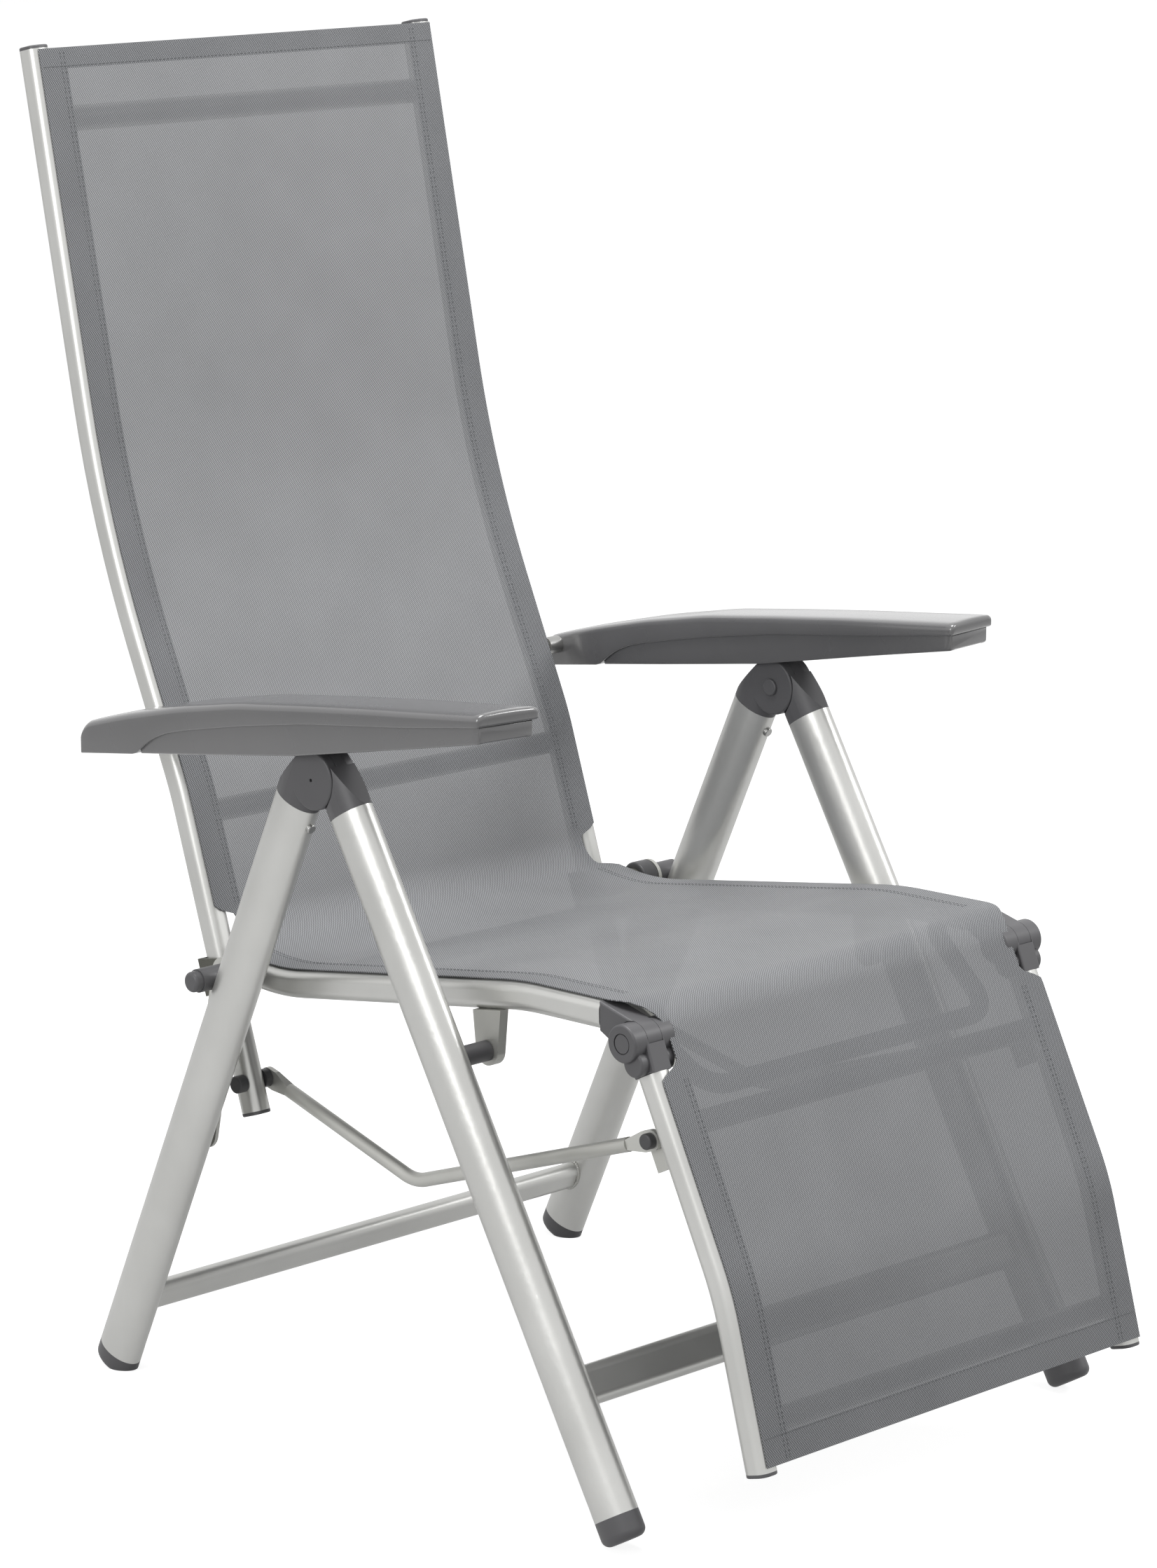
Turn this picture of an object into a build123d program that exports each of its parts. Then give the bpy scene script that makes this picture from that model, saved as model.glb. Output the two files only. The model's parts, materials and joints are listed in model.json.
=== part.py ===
"""Reclining garden armchair: a folding A-frame, a sling seat, a back that
reclines, and a leg rest that rises with it through two link rods.

Millimetres. X runs across the chair and +X is the sitter's left, the chair faces
-Y, and Z is up. Places in the side view are (y, z) pairs, measured at first from
halfway between the feet; at the end the whole chair moves so that its origin is
the middle of its footprint, on the floor.
"""
from build123d import *
from math import acos, atan2, cos, hypot, pi, radians, sin, tan
import os

# The two leg frames
leg_step_out = 50.0           # from the centre of a rail out to the centre of a leg
leg_width = 29.0              # across the chair; the legs are oval tubes
leg_depth = 45.0              # fore and aft, square to the leg
leg_wall = 1.6
rear_leg_tilt = 24.6          # degrees from upright
front_leg_tilt = 30.4
hub_y = 30.0                  # the pin that joins the two frames
hub_z = 567.0
rear_leg_offset = 19.5        # the rear leg's centre line passes this far behind the hub
front_leg_offset = 16.6       # the front leg's passes this far in front
rear_head_length = 33.0       # from the hub down to the end of the tube
front_head_length = 37.5
rear_foot_height = 16.0       # the tube ends this far above the floor
front_foot_height = 26.0
rear_foot_length = 17.5       # of the cap, from the end of the tube
front_foot_length = 21.0
foot_round = 7.0

# The crossbars of the leg frames, flat ovals with their long side along the legs
crossbar_thickness = 16.0
crossbar_wall = 1.5
rear_crossbar_height = 27.0
rear_crossbar_z = 65.5
front_crossbar_height = 33.0
front_crossbar_z = 116.0

# The hub: the rear head is a clevis and the front head is its tongue
hub_radius = 25.0
tongue_width = 11.0
tongue_gap = 0.35             # beside the tongue
hub_gap = 1.2                 # round the tongue and round the cheeks
hub_pin_radius = 4.0
hub_pin_head_radius = 7.5
hub_pin_head = 2.4
head_inset = 0.3              # its flat sides lie this far inside the tube's
head_round = 1.8
vent_radius = 1.5             # the small hole in the outer cheek
head_screw_radius = 2.2
head_screw_head_radius = 4.2
head_screw_head = 2.6
head_screw_drop = 15.0        # below the end of the tube
head_screw_length = 9.0
head_screw_seat = 1.0         # sunk into the tube

# Rails of the seat, back and leg rest
rail_spacing = 440.0
rail_width = 20.0
rail_depth = 24.0
rail_corner = 8.0
rail_wall = 1.5

# Spigots and plugs that sit inside the tubes
spigot_gap = 0.1
spigot_length = 22.0

# Running fits
fit = 0.05                    # radial, shaft in hole
side_gap = 0.35               # between flat parts that turn past each other

# The pivot that the back, the seat and the hanger links share
pivot_z = 372.0
pivot_radius = 5.0
pivot_head_radius = 9.0
pivot_head = 3.6
sleeve_radius = 10.0
sleeve_gap = 0.3              # to the rear leg that it bears on
sleeve_length = 36.5
sleeve_step = 8.0             # length of the narrower end
sleeve_end_radius = 8.8
sleeve_round = 3.0
bush_radius = 15.0
bush_round = 2.0

# Hanger links, flat bars from the pivot down to the rear legs
link_thickness = 3.5
link_leg_gap = 1.0            # between the link and the rear leg
link_radius = 15.0
link_foot_z = 230.0
rivet_radius = 4.0
rivet_head_radius = 8.0
rivet_head = 3.0
rivet_round = 1.4

# Back
back_set_back = 42.5          # the rail's centre line behind the pivot, at its height
back_tail_z = 246.0
back_lower_tilt = 18.3
back_bend_z = 512.4
back_middle_tilt = 24.3
back_upper_bend_z = 726.5
back_upper_tilt = 11.9
back_top_z = 1126.0
back_bend_radius = 320.0
back_upper_bend_radius = 950.0
back_top_bar_drop = 59.0      # below the top of the rails
back_top_bar_radius = 11.0
back_lower_bar_z = 490.0
back_lower_bar_radius = 10.0
bar_wall = 1.5
plug_cap = 3.0                # the part of an end plug that shows
plug_round = 1.2
bracket_thickness = 3.2
bracket_top_z = 376.0
bracket_bottom_z = 345.0
bracket_nose_radius = 9.6
bracket_side_gap = 0.4

# Seat
knee_y = -283.0
knee_z = 400.0
seat_end_behind = 13.2        # from the pivot to the rear end of the rail
seat_end_drop = 0.5
seat_rear_bend_ahead = 36.8
seat_rear_bend_drop = 6.0
seat_front_bend_behind = 128.0    # from the knee back to the front bend
seat_front_bend_rise = 11.5
seat_socket_behind = 37.0     # from the knee back to the end of the rail
seat_socket_rise = 13.5
seat_rear_bend_radius = 220.0
seat_front_bend_radius = 330.0
seat_rear_bar_behind = 62.0   # ahead of the pivot
seat_rear_bar_radius = 9.0
front_bar_radius = 8.0
front_bar_root_behind = 60.0  # where it meets the rail, behind the knee
front_bar_ahead = 22.0        # its middle run, ahead of the knee
front_bar_drop = 46.0
front_bar_bend = 28.0
front_bar_inset = 42.0        # from the rail's inner face to the corner

# The pivot between the seat and the front legs
seat_pivot_y = -118.0
seat_pivot_z = 360.0
seat_bracket_thickness = 9.0
seat_bracket_length = 32.0
seat_bracket_nose = 12.5
seat_bolt_radius = 4.0
seat_bolt_head_radius = 8.0
seat_bolt_head = 3.5
seat_spacer_radius = 8.5

# Knee joint
knee_radius = 15.5
knee_width = 45.0
knee_inner_reach = 23.0       # from the rail's centre to the inner face of the joint
knee_tongue_width = 15.4
knee_gap = 0.7
knee_pin_radius = 4.5
knee_pin_head_radius = 7.6
knee_pin_head = 1.2
knee_recess = 1.6
knee_recess_radius = 8.5
knee_collar_width = 37.0
knee_collar_reach = 18.0
knee_collar_radius = 10.5

# Leg rest
rest_socket_ahead = 13.5      # from the knee to the top end of the rail
rest_socket_drop = 25.5
rest_bend_ahead = 95.0
rest_bend_drop = 188.0
rest_end_ahead = 132.5
rest_end_drop = 322.0
rest_bend_radius = 260.0
rest_top_bar_drop = 66.6
rest_top_bar_radius = 9.5
rest_bottom_bar_drop = 288.0
rest_bottom_bar_radius = 9.5

# Link rods between the back's tail and the leg rest
tail_pin_ahead = 3.7          # in front of the back rail's centre line
tail_pin_z = 271.5
tail_pin_radius = 4.0
tail_cap_radius = 7.5
tail_cap = 9.0
tail_spacer_radius = 8.0
tail_spacer = 7.0
tail_head_radius = 6.5
tail_head = 3.0
rod_radius = 6.0
rod_eye_radius = 8.5
rod_eye_thickness = 4.6
rod_bend_y = -9.0
rod_bend_z = 222.0
rod_bend_radius = 45.0
rod_neck = 27.0               # from the eye's centre to where the rod is round again
rod_pin_ahead = 12.0          # the front eye, ahead of the knee
rod_pin_drop = 79.5
rod_pin_radius = 3.5
rod_cap_radius = 6.5
rod_cap = 7.0
rod_plate_thickness = 3.5
rod_plate_reach = 10.0        # behind the pin
rod_plate_half = 13.0         # above and below the pin
rod_plate_inset = 3.0         # from the rail's inner face to the plate
rod_open_gap = 0.3            # the pin stops this far from the plate

# Armrests, their heights in the side view measured up from the hub
arm_width = 60.0
arm_base_width = 53.0
arm_rear_width = 52.0
arm_outset = 2.0              # the armrest's middle, outside the leg's
arm_front_y = -186.0
arm_rear_y = 307.0
arm_front_top_rise = 87.5
arm_front_seam_rise = 77.7
arm_front_bottom_rise = 64.0
arm_nose = 4.0                # the top reaches this far past the base
arm_skew = 7.0                # the inner front corner, ahead of the outer one
arm_crown_y = 105.0
arm_crown_rise = 54.7
arm_slope_y = 249.0
arm_slope_rise = 24.1
arm_shoulder_y = 283.0
arm_shoulder_rise = 15.5
arm_tail_y = 298.0
arm_tail_rise = -1.0
arm_rear_bottom_rise = -18.0
arm_belly_y = 35.6
arm_belly_rise = 21.0
arm_seam_root_y = 235.0
arm_seam_bow_y = 190.0
arm_seam_bow_rise = 16.5
arm_seam_turn_y = 96.0
arm_seam_turn_rise = 37.5
arm_wall = 3.0
arm_round = 5.0
arm_track_tilt = 10.0         # degrees: the sliding face that runs on the hub
arm_track_gap = 0.3
arm_track_front = -150.0
arm_track_rear = 112.0
arm_track_wall = 4.5
arm_track_open = 16.0         # how far the cut for the channel runs below it, at the rear
arm_pivot_ahead = 4.0         # in front of the back rail's centre line
arm_pivot_rise = 4.0
arm_boss_radius = 7.0
arm_boss_length = 16.0
arm_bolt_radius = 3.5
arm_bolt_head_radius = 6.5
arm_bolt_head = 3.0
arm_collar_radius = 8.0

# Sling
sling_thickness = 1.2
sling_gap = 0.3
sling_side_reveal = 4.5       # rail left bare beside the sling
sling_top_gap = 1.0           # below the top of the back rails
sling_split_z = 425.0         # between the back's stretch and the seat's
sling_split_gap = 0.3
sling_notch_top_z = 416.0     # cut-outs beside the pivots
sling_notch_bottom_z = 384.0
sling_notch_depth = 20.0
sling_knee_cut_behind = 40.0  # the cut-outs at the knees start behind the knee
sling_knee_cut_drop = 34.0    # and end below it
sling_knee_cut_depth = 30.0
sling_lumbar_radius = 40.0
sling_knee_radius = 36.0
sling_rest_split_drop = 20.0
sling_end_gap = 4.0           # above the lower end of the leg-rest rails

overrun = 2.0                 # how far a cut runs past what it cuts


def step(point, direction, distance):
    """The side-view point at a distance from another."""
    return (point[0] + direction[0] * distance, point[1] + direction[1] * distance)


def unit(start, end):
    """The direction from one side-view point to another."""
    length = hypot(end[0] - start[0], end[1] - start[1])
    return ((end[0] - start[0]) / length, (end[1] - start[1]) / length)


def along_at_z(start, end, z):
    """The point at height z on the line through two points."""
    share = (z - start[1]) / (end[1] - start[1])
    return (start[0] + (end[0] - start[0]) * share, z)


def along_at_y(start, end, y):
    """The point at depth y on the line through two points."""
    share = (y - start[0]) / (end[0] - start[0])
    return (y, start[1] + (end[1] - start[1]) * share)


def crossing(a, b, c, d):
    """Where the line through a and b meets the line through c and d."""
    u, v = unit(a, b), unit(c, d)
    reach = ((c[0] - a[0]) * v[1] - (c[1] - a[1]) * v[0]) / (u[0] * v[1] - u[1] * v[0])
    return step(a, u, reach)


def beside(points, distance):
    """A route of straight runs moved sideways, to the left of its direction."""
    runs = []
    for start, end in zip(points, points[1:]):
        ahead = unit(start, end)
        left = (-ahead[1], ahead[0])
        runs.append((step(start, left, distance), step(end, left, distance)))
    corners = [crossing(*first, *second) for first, second in zip(runs, runs[1:])]
    return [runs[0][0]] + corners + [runs[-1][1]]


def tangent_point(outside, centre, radius, turn):
    """Where a line from an outside point touches a circle; turn is 1 or -1."""
    gap = hypot(outside[0] - centre[0], outside[1] - centre[1])
    angle = atan2(outside[1] - centre[1], outside[0] - centre[0]) + turn * acos(radius / gap)
    return step(centre, (cos(angle), sin(angle)), radius)


# Where the main pieces lie in the side view
rail_x = rail_spacing / 2
leg_x = rail_x + leg_step_out
rail_half = rail_width / 2
hub = (hub_y, hub_z)
knee = (knee_y, knee_z)
seat_pivot = (seat_pivot_y, seat_pivot_z)

rear_down = (sin(radians(rear_leg_tilt)), -cos(radians(rear_leg_tilt)))
rear_behind = (cos(radians(rear_leg_tilt)), sin(radians(rear_leg_tilt)))
front_down = (-sin(radians(front_leg_tilt)), -cos(radians(front_leg_tilt)))
front_ahead = (-cos(radians(front_leg_tilt)), sin(radians(front_leg_tilt)))
rear_axis = step(hub, rear_behind, rear_leg_offset)
front_axis = step(hub, front_ahead, front_leg_offset)
rear_tube_top = step(rear_axis, rear_down, rear_head_length)
front_tube_top = step(front_axis, front_down, front_head_length)
rear_tube_end = along_at_z(rear_axis, step(rear_axis, rear_down, 1), rear_foot_height)
front_tube_end = along_at_z(front_axis, step(front_axis, front_down, 1), front_foot_height)
rear_axis_above = step(rear_axis, rear_down, -2 * hub_radius)
front_axis_above = step(front_axis, front_down, -2 * hub_radius)
rear_crossbar_at = along_at_z(rear_axis, rear_tube_end, rear_crossbar_z)
front_crossbar_at = along_at_z(front_axis, front_tube_end, front_crossbar_z)

# The sleeve bears on the rear leg's rear face
leg_at_pivot = along_at_z(rear_axis, rear_tube_end, pivot_z)
pivot_reach = (leg_depth / 2 + sleeve_radius + sleeve_gap) / cos(radians(rear_leg_tilt))
pivot = (leg_at_pivot[0] + pivot_reach, pivot_z)
link_foot = along_at_z(rear_axis, rear_tube_end, link_foot_z)


def back_point(z):
    """The back rail's centre line at height z, on its three straight runs."""
    y = pivot[0] + back_set_back + (min(z, back_bend_z) - pivot_z) * tan(radians(back_lower_tilt))
    if z > back_bend_z:
        y += (min(z, back_upper_bend_z) - back_bend_z) * tan(radians(back_middle_tilt))
    if z > back_upper_bend_z:
        y += (z - back_upper_bend_z) * tan(radians(back_upper_tilt))
    return (y, z)


back_route = [back_point(z) for z in (back_tail_z, back_bend_z, back_upper_bend_z, back_top_z)]
tail_pin = (back_point(tail_pin_z)[0] - tail_pin_ahead, tail_pin_z)
arm_pivot_z = hub_z + arm_pivot_rise
arm_pivot = (back_point(arm_pivot_z)[0] - arm_pivot_ahead, arm_pivot_z)
arm_bottom_z = hub_z + arm_rear_bottom_rise

seat_route = [
    (pivot[0] + seat_end_behind, pivot_z - seat_end_drop),
    (pivot[0] - seat_rear_bend_ahead, pivot_z - seat_rear_bend_drop),
    (knee_y + seat_front_bend_behind, knee_z + seat_front_bend_rise),
    (knee_y + seat_socket_behind, knee_z + seat_socket_rise),
]
rest_route = [
    (knee_y - rest_socket_ahead, knee_z - rest_socket_drop),
    (knee_y - rest_bend_ahead, knee_z - rest_bend_drop),
    (knee_y - rest_end_ahead, knee_z - rest_end_drop),
]
rod_pin = (knee_y - rod_pin_ahead, knee_z - rod_pin_drop)
rod_bend = (rod_bend_y, rod_bend_z)

# Places across the chair, as distances from its middle
rail_outer = rail_x + rail_half
rail_inner = rail_x - rail_half
leg_inner = leg_x - leg_width / 2
leg_outer = leg_x + leg_width / 2
link_outer = leg_inner - link_leg_gap
link_inner = link_outer - link_thickness
bracket_outer = rail_outer + bracket_side_gap + bracket_thickness
bracket_inner = rail_inner - bracket_side_gap - bracket_thickness
knee_inner = rail_x - knee_inner_reach
knee_outer = knee_inner + knee_width
rod_tail_outer = rail_inner - tail_spacer
rod_tail_x = rod_tail_outer - rod_eye_thickness / 2
rod_plate_inner = rail_inner + rod_plate_inset
rod_plate_outer = rod_plate_inner + rod_plate_thickness
rod_front_x = rod_plate_outer + side_gap + rod_eye_thickness / 2
arm_x = leg_x + arm_outset
arm_inner = arm_x - arm_width / 2


def side_plane(x):
    """The side view at x: its first axis is +Y and its second is +Z."""
    return Plane(origin=(x, 0, 0), x_dir=(0, 1, 0), z_dir=(1, 0, 0))


def slab(outline, x_from, x_to):
    """A flat side-view outline, given thickness across the chair."""
    return extrude(side_plane(x_from) * outline, amount=x_to - x_from)


def disc(centre, radius):
    """A round outline in the side view."""
    return Pos(centre[0], centre[1]) * Circle(radius)


def shape_of(*points):
    """A flat outline with straight edges."""
    return make_face(Polyline(*points, close=True))


def rod_across(centre, radius, x_from, x_to):
    """A round bar across the chair."""
    return slab(disc(centre, radius), x_from, x_to)


def route_wire(points, radii, x):
    """Straight runs joined by tangent arcs, in the side plane at x."""
    path = [(x, y, z) for y, z in points]
    if len(path) == 2:
        return Line(*path)
    return FilletPolyline(*path, radius=radii)


def section_at_start(wire, width, depth, corner):
    """A rounded rectangle at the start of a route, its width across the chair."""
    plane = Plane(origin=wire @ 0, x_dir=(1, 0, 0), z_dir=wire % 0)
    return plane * RectangleRounded(width, depth, corner)


def tube_along(points, radii, x, width, depth, corner, wall):
    """A rounded rectangular tube along a route in the side plane."""
    wire = route_wire(points, radii, x)
    outer = sweep(section_at_start(wire, width, depth, corner), path=wire)
    inner = section_at_start(wire, width - 2 * wall, depth - 2 * wall, corner - wall)
    return outer - sweep(inner, path=wire)


def spigot(face_centre, direction, x, width, depth, corner, wall):
    """A block that fits inside a tube, from its end inwards."""
    inset = 2 * (wall + spigot_gap)
    tip = step(face_centre, direction, spigot_length)
    wire = route_wire([face_centre, tip], None, x)
    return sweep(section_at_start(wire, width - inset, depth - inset, corner - wall), path=wire)


def rail_spigot(face_centre, direction):
    return spigot(face_centre, direction, rail_x, rail_width, rail_depth, rail_corner, rail_wall)


def leg_body(start, end, inset=0.0):
    """A solid with a leg's oval section, or a smaller one, between two points."""
    wire = route_wire([start, end], None, leg_x)
    plane = Plane(origin=wire @ 0, x_dir=(1, 0, 0), z_dir=wire % 0)
    return sweep(plane * Ellipse(leg_width / 2 - inset, leg_depth / 2 - inset), path=wire)


def leg_spigot(face_centre, direction):
    return leg_body(face_centre, step(face_centre, direction, spigot_length), leg_wall + spigot_gap)


def round_bar(centre, radius, half_length):
    """A round tube across the whole chair."""
    outer = rod_across(centre, radius, -half_length, half_length)
    return outer - rod_across(centre, radius - bar_wall, -half_length - overrun, half_length + overrun)


def oval_bar(centre, height, down, half_length):
    """A flat oval tube across the chair, its long side along a leg."""
    turn = atan2(down[1], down[0]) * 180 / pi
    place = Pos(centre[0], centre[1]) * Rot(0, 0, turn)
    outer = place * SlotOverall(height, crossbar_thickness)
    inset = 2 * crossbar_wall
    inner = place * SlotOverall(height - inset, crossbar_thickness - inset)
    return slab(outer - inner, -half_length, half_length)


def other_side(solid):
    return mirror(solid, about=Plane.YZ)


def both_sides(solid):
    """The same piece on each side of the chair, as one group."""
    return [solid, other_side(solid)]


def add_pair(nodes, name, solid):
    """The left piece as built, and its mirror image on the right."""
    nodes[name + "_left"] = [solid]
    nodes[name + "_right"] = [other_side(solid)]


def rounded_block(outline, x_from, x_to, radius):
    """A slab with the rims of both its flat faces rounded."""
    block = slab(outline, x_from, x_to)
    rims = block.faces().sort_by(Axis.X)[0].edges() + block.faces().sort_by(Axis.X)[-1].edges()
    return fillet(rims, radius)


def leg_tube(start, end):
    return leg_body(start, end) - leg_body(start, end, leg_wall)


def rear_leg():
    """The rear leg, with the sunk hole for the screw that holds its head."""
    tube = leg_tube(rear_tube_end, rear_tube_top) - head_screw_head_body(fit)
    return tube - head_screw_shank(head_screw_radius + fit)


def crossbar(centre, height, down, leg):
    """A flat oval bar whose ends are shaped to the two legs that it is welded to."""
    bar = oval_bar(centre, height, down, leg_x)
    return bar - leg - other_side(leg)


def head_screw_face():
    """The point on the rear leg's front face where the screw sits."""
    on_axis = step(rear_tube_top, rear_down, head_screw_drop)
    return step(on_axis, rear_behind, -leg_depth / 2)


def head_screw_plane():
    y, z = head_screw_face()
    return Plane(origin=(leg_x, y, z), x_dir=(1, 0, 0), z_dir=(0, rear_behind[0], rear_behind[1]))


def head_screw_shank(radius):
    plane = head_screw_plane()
    return extrude(plane * Circle(radius), amount=head_screw_length)


def head_screw_head_body(gap=0.0):
    """The plain round head, which starts a little below the tube's face."""
    seat = head_screw_plane().offset(head_screw_seat)
    return extrude(seat * Circle(head_screw_head_radius + gap), amount=-head_screw_head - head_screw_seat)


def head_screw():
    """A pan-head screw through the tube into the head's spigot."""
    head = head_screw_head_body()
    rim = head.faces().sort_by(Axis.Y)[0].edges()
    return fillet(rim, head_screw_head / 2) + head_screw_shank(head_screw_radius)


def rear_head():
    """The clevis on the rear leg: two round cheeks over a block that enters the tube."""
    behind = step(rear_tube_top, rear_behind, leg_depth / 2)
    ahead = step(rear_tube_top, rear_behind, -leg_depth / 2)
    above = step(hub, rear_behind, rear_leg_offset - leg_depth / 2)
    outline = shape_of(behind, ahead, above, hub, tangent_point(behind, hub, hub_radius, 1))
    half = leg_width / 2 - head_inset
    stem = leg_body(rear_tube_top, rear_axis_above) & slab(outline, leg_x - half, leg_x + half)
    body = stem + rounded_block(disc(hub, hub_radius), leg_x - half, leg_x + half, head_round)
    slot_half = tongue_width / 2 + tongue_gap
    body -= rod_across(hub, hub_radius + hub_gap, leg_x - slot_half, leg_x + slot_half)
    body -= rod_across(hub, hub_pin_radius + fit, leg_x - half - overrun, leg_x + half - head_round)
    body -= rod_across(hub, vent_radius, leg_x, leg_x + half + overrun)
    body += leg_spigot(rear_tube_top, rear_down)
    return body - head_screw_shank(head_screw_radius + fit)


def front_head():
    """The tongue on the front leg, with a shoulder outside the cheeks."""
    ahead = step(front_tube_top, front_ahead, leg_depth / 2)
    behind = step(front_tube_top, front_ahead, -leg_depth / 2)
    above = step(hub, front_ahead, front_leg_offset - leg_depth / 2)
    outline = shape_of(ahead, behind, above, hub, tangent_point(ahead, hub, hub_radius, -1))
    half = leg_width / 2 - head_inset
    tongue_half = tongue_width / 2
    stem = leg_body(front_tube_top, front_axis_above) & slab(outline, leg_x - half, leg_x + half)
    body = stem + slab(disc(hub, hub_radius), leg_x - tongue_half, leg_x + tongue_half)
    inner = rod_across(hub, hub_radius + hub_gap, leg_x - half - overrun, leg_x - tongue_half)
    outer = rod_across(hub, hub_radius + hub_gap, leg_x + tongue_half, leg_x + half + overrun)
    body -= inner + outer
    body -= rod_across(hub, hub_pin_radius + fit, leg_x - half, leg_x + half)
    return body + leg_spigot(front_tube_top, front_down)


def hub_pin():
    """The pin through the clevis, its head on the inner side."""
    half = leg_width / 2 - head_inset
    inner = leg_x - half
    shank = rod_across(hub, hub_pin_radius, inner, leg_x + half - head_round - tongue_gap)
    head = rod_across(hub, hub_pin_head_radius, inner - hub_pin_head, inner)
    return shank + fillet(head.faces().sort_by(Axis.X)[0].edges(), hub_pin_head / 2)


def foot(tube_end, down, length):
    """A cap that carries on the leg's section, rounded below and flat on the floor."""
    reach = step(tube_end, down, length)
    cap = leg_body(tube_end, reach)
    cap = fillet(cap.faces().sort_by_distance((leg_x, *reach))[0].edges(), foot_round)
    cap = split(cap, bisect_by=Plane.XY, keep=Keep.TOP)
    return cap + leg_spigot(tube_end, (-down[0], -down[1]))


def front_leg():
    """The front leg, with the hole for the seat's pivot bolt in its inner wall."""
    tube = leg_tube(front_tube_end, front_tube_top)
    return tube - rod_across(seat_pivot, seat_bolt_radius + fit, leg_inner - overrun, leg_x)


def seat_pivot_bolt():
    """The bolt from the seat bracket into the front leg, with its nut in the tube."""
    start = rail_outer - seat_bracket_thickness - side_gap
    head = rod_across(seat_pivot, seat_bolt_head_radius, start - seat_bolt_head, start)
    head = fillet(head.faces().sort_by(Axis.X)[0].edges(), seat_bolt_head / 2)
    wall_inside = leg_inner + leg_wall
    nut = rod_across(seat_pivot, seat_spacer_radius, leg_inner, wall_inside + seat_bolt_head)
    nut &= leg_body(front_tube_end, front_tube_top, leg_wall)
    shank = rod_across(seat_pivot, seat_bolt_radius, start, wall_inside + seat_bolt_head)
    return head + shank + nut


def seat_pivot_spacer():
    """The sleeve on the bolt between the bracket and the leg."""
    ring = rod_across(seat_pivot, seat_spacer_radius, rail_outer + side_gap, leg_x)
    ring -= rod_across(seat_pivot, seat_bolt_radius + fit, rail_outer, leg_x)
    return ring - leg_body(front_tube_end, front_tube_top)


def rail_tube(route, radii):
    return tube_along(route, radii, rail_x, rail_width, rail_depth, rail_corner, rail_wall)


def seat_rail():
    radii = [seat_rear_bend_radius, seat_front_bend_radius]
    tube = rail_tube(seat_route, radii)
    return tube - rod_across(pivot, pivot_radius + fit, rail_inner - overrun, rail_outer + overrun)


def plug(end, direction):
    """A plug in a rail's open end: a spigot inside and a thin cap outside."""
    out = (-direction[0], -direction[1])
    wire = route_wire([end, step(end, out, plug_cap)], None, rail_x)
    cap = sweep(section_at_start(wire, rail_width, rail_depth, rail_corner), path=wire)
    far = cap.faces().sort_by_distance((rail_x, *step(end, out, leg_depth)))[0]
    return fillet(far.edges(), plug_round) + rail_spigot(end, direction)


def seat_rear_plug():
    body = plug(seat_route[0], unit(seat_route[0], seat_route[1]))
    return body - rod_across(pivot, pivot_radius + fit, rail_inner, rail_outer)


def seat_rear_bar():
    y = pivot[0] - seat_rear_bar_behind
    return round_bar(along_at_y(seat_route[1], seat_route[2], y), seat_rear_bar_radius, rail_inner)


def seat_front_bar():
    """A dipped bar from one seat rail to the other, behind the fabric at the knees."""
    root_y = knee_y + front_bar_root_behind
    root = along_at_y(seat_route[2], seat_route[3], root_y)
    middle = (knee_y - front_bar_ahead, knee_z - front_bar_drop)
    corner_x = rail_inner - front_bar_inset
    left = [(rail_inner, *root), (rail_inner - front_bar_bend, *root), (corner_x, *middle)]
    right = [(-x, y, z) for x, y, z in reversed(left)]
    wire = FilletPolyline(*left, *right, radius=front_bar_bend)
    start = Plane(origin=wire @ 0, z_dir=wire % 0)
    outer = sweep(start * Circle(front_bar_radius), path=wire)
    return outer - sweep(start * Circle(front_bar_radius - bar_wall), path=wire)


def seat_bracket():
    """The lug under the seat rail that the front leg's bolt carries."""
    half = seat_bracket_length / 2
    root = rail_depth / 2 / -unit(seat_route[1], seat_route[2])[0]
    rail_front = along_at_y(seat_route[1], seat_route[2], seat_pivot_y - half)
    rail_rear = along_at_y(seat_route[1], seat_route[2], seat_pivot_y + half)
    front = (rail_front[0], rail_front[1] - root)
    rear = (rail_rear[0], rail_rear[1] - root)
    low_front = tangent_point(front, seat_pivot, seat_bracket_nose, 1)
    low_rear = tangent_point(rear, seat_pivot, seat_bracket_nose, -1)
    outline = shape_of(front, rear, low_rear, seat_pivot, low_front) + disc(seat_pivot, seat_bracket_nose)
    lug = slab(outline, rail_outer - seat_bracket_thickness, rail_outer)
    return lug - rod_across(seat_pivot, seat_bolt_radius + fit, rail_inner, rail_outer + overrun)


def knee_body(socket, direction, x_from, x_to):
    """The round of the knee joint drawn out to the end of a rail."""
    across = (-direction[1], direction[0])
    first = step(socket, across, rail_depth / 2)
    second = step(socket, across, -rail_depth / 2)
    outline = shape_of(first, tangent_point(first, knee, knee_radius, 1), knee,
                       tangent_point(second, knee, knee_radius, -1), second)
    return rounded_block(outline + disc(knee, knee_radius), x_from, x_to, head_round)


def seat_elbow():
    """The tongue of the knee joint, fitted into the seat rail."""
    inward = unit(seat_route[-1], seat_route[-2])
    body = knee_body(seat_route[-1], inward, rail_inner, rail_outer)
    half = knee_tongue_width / 2
    body -= rod_across(knee, knee_radius + knee_gap, rail_inner - overrun, rail_x - half)
    body -= rod_across(knee, knee_radius + knee_gap, rail_x + half, rail_outer + overrun)
    body -= rod_across(knee, knee_pin_radius + fit, rail_inner, rail_outer)
    return body + rail_spigot(seat_route[-1], inward)


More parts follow.
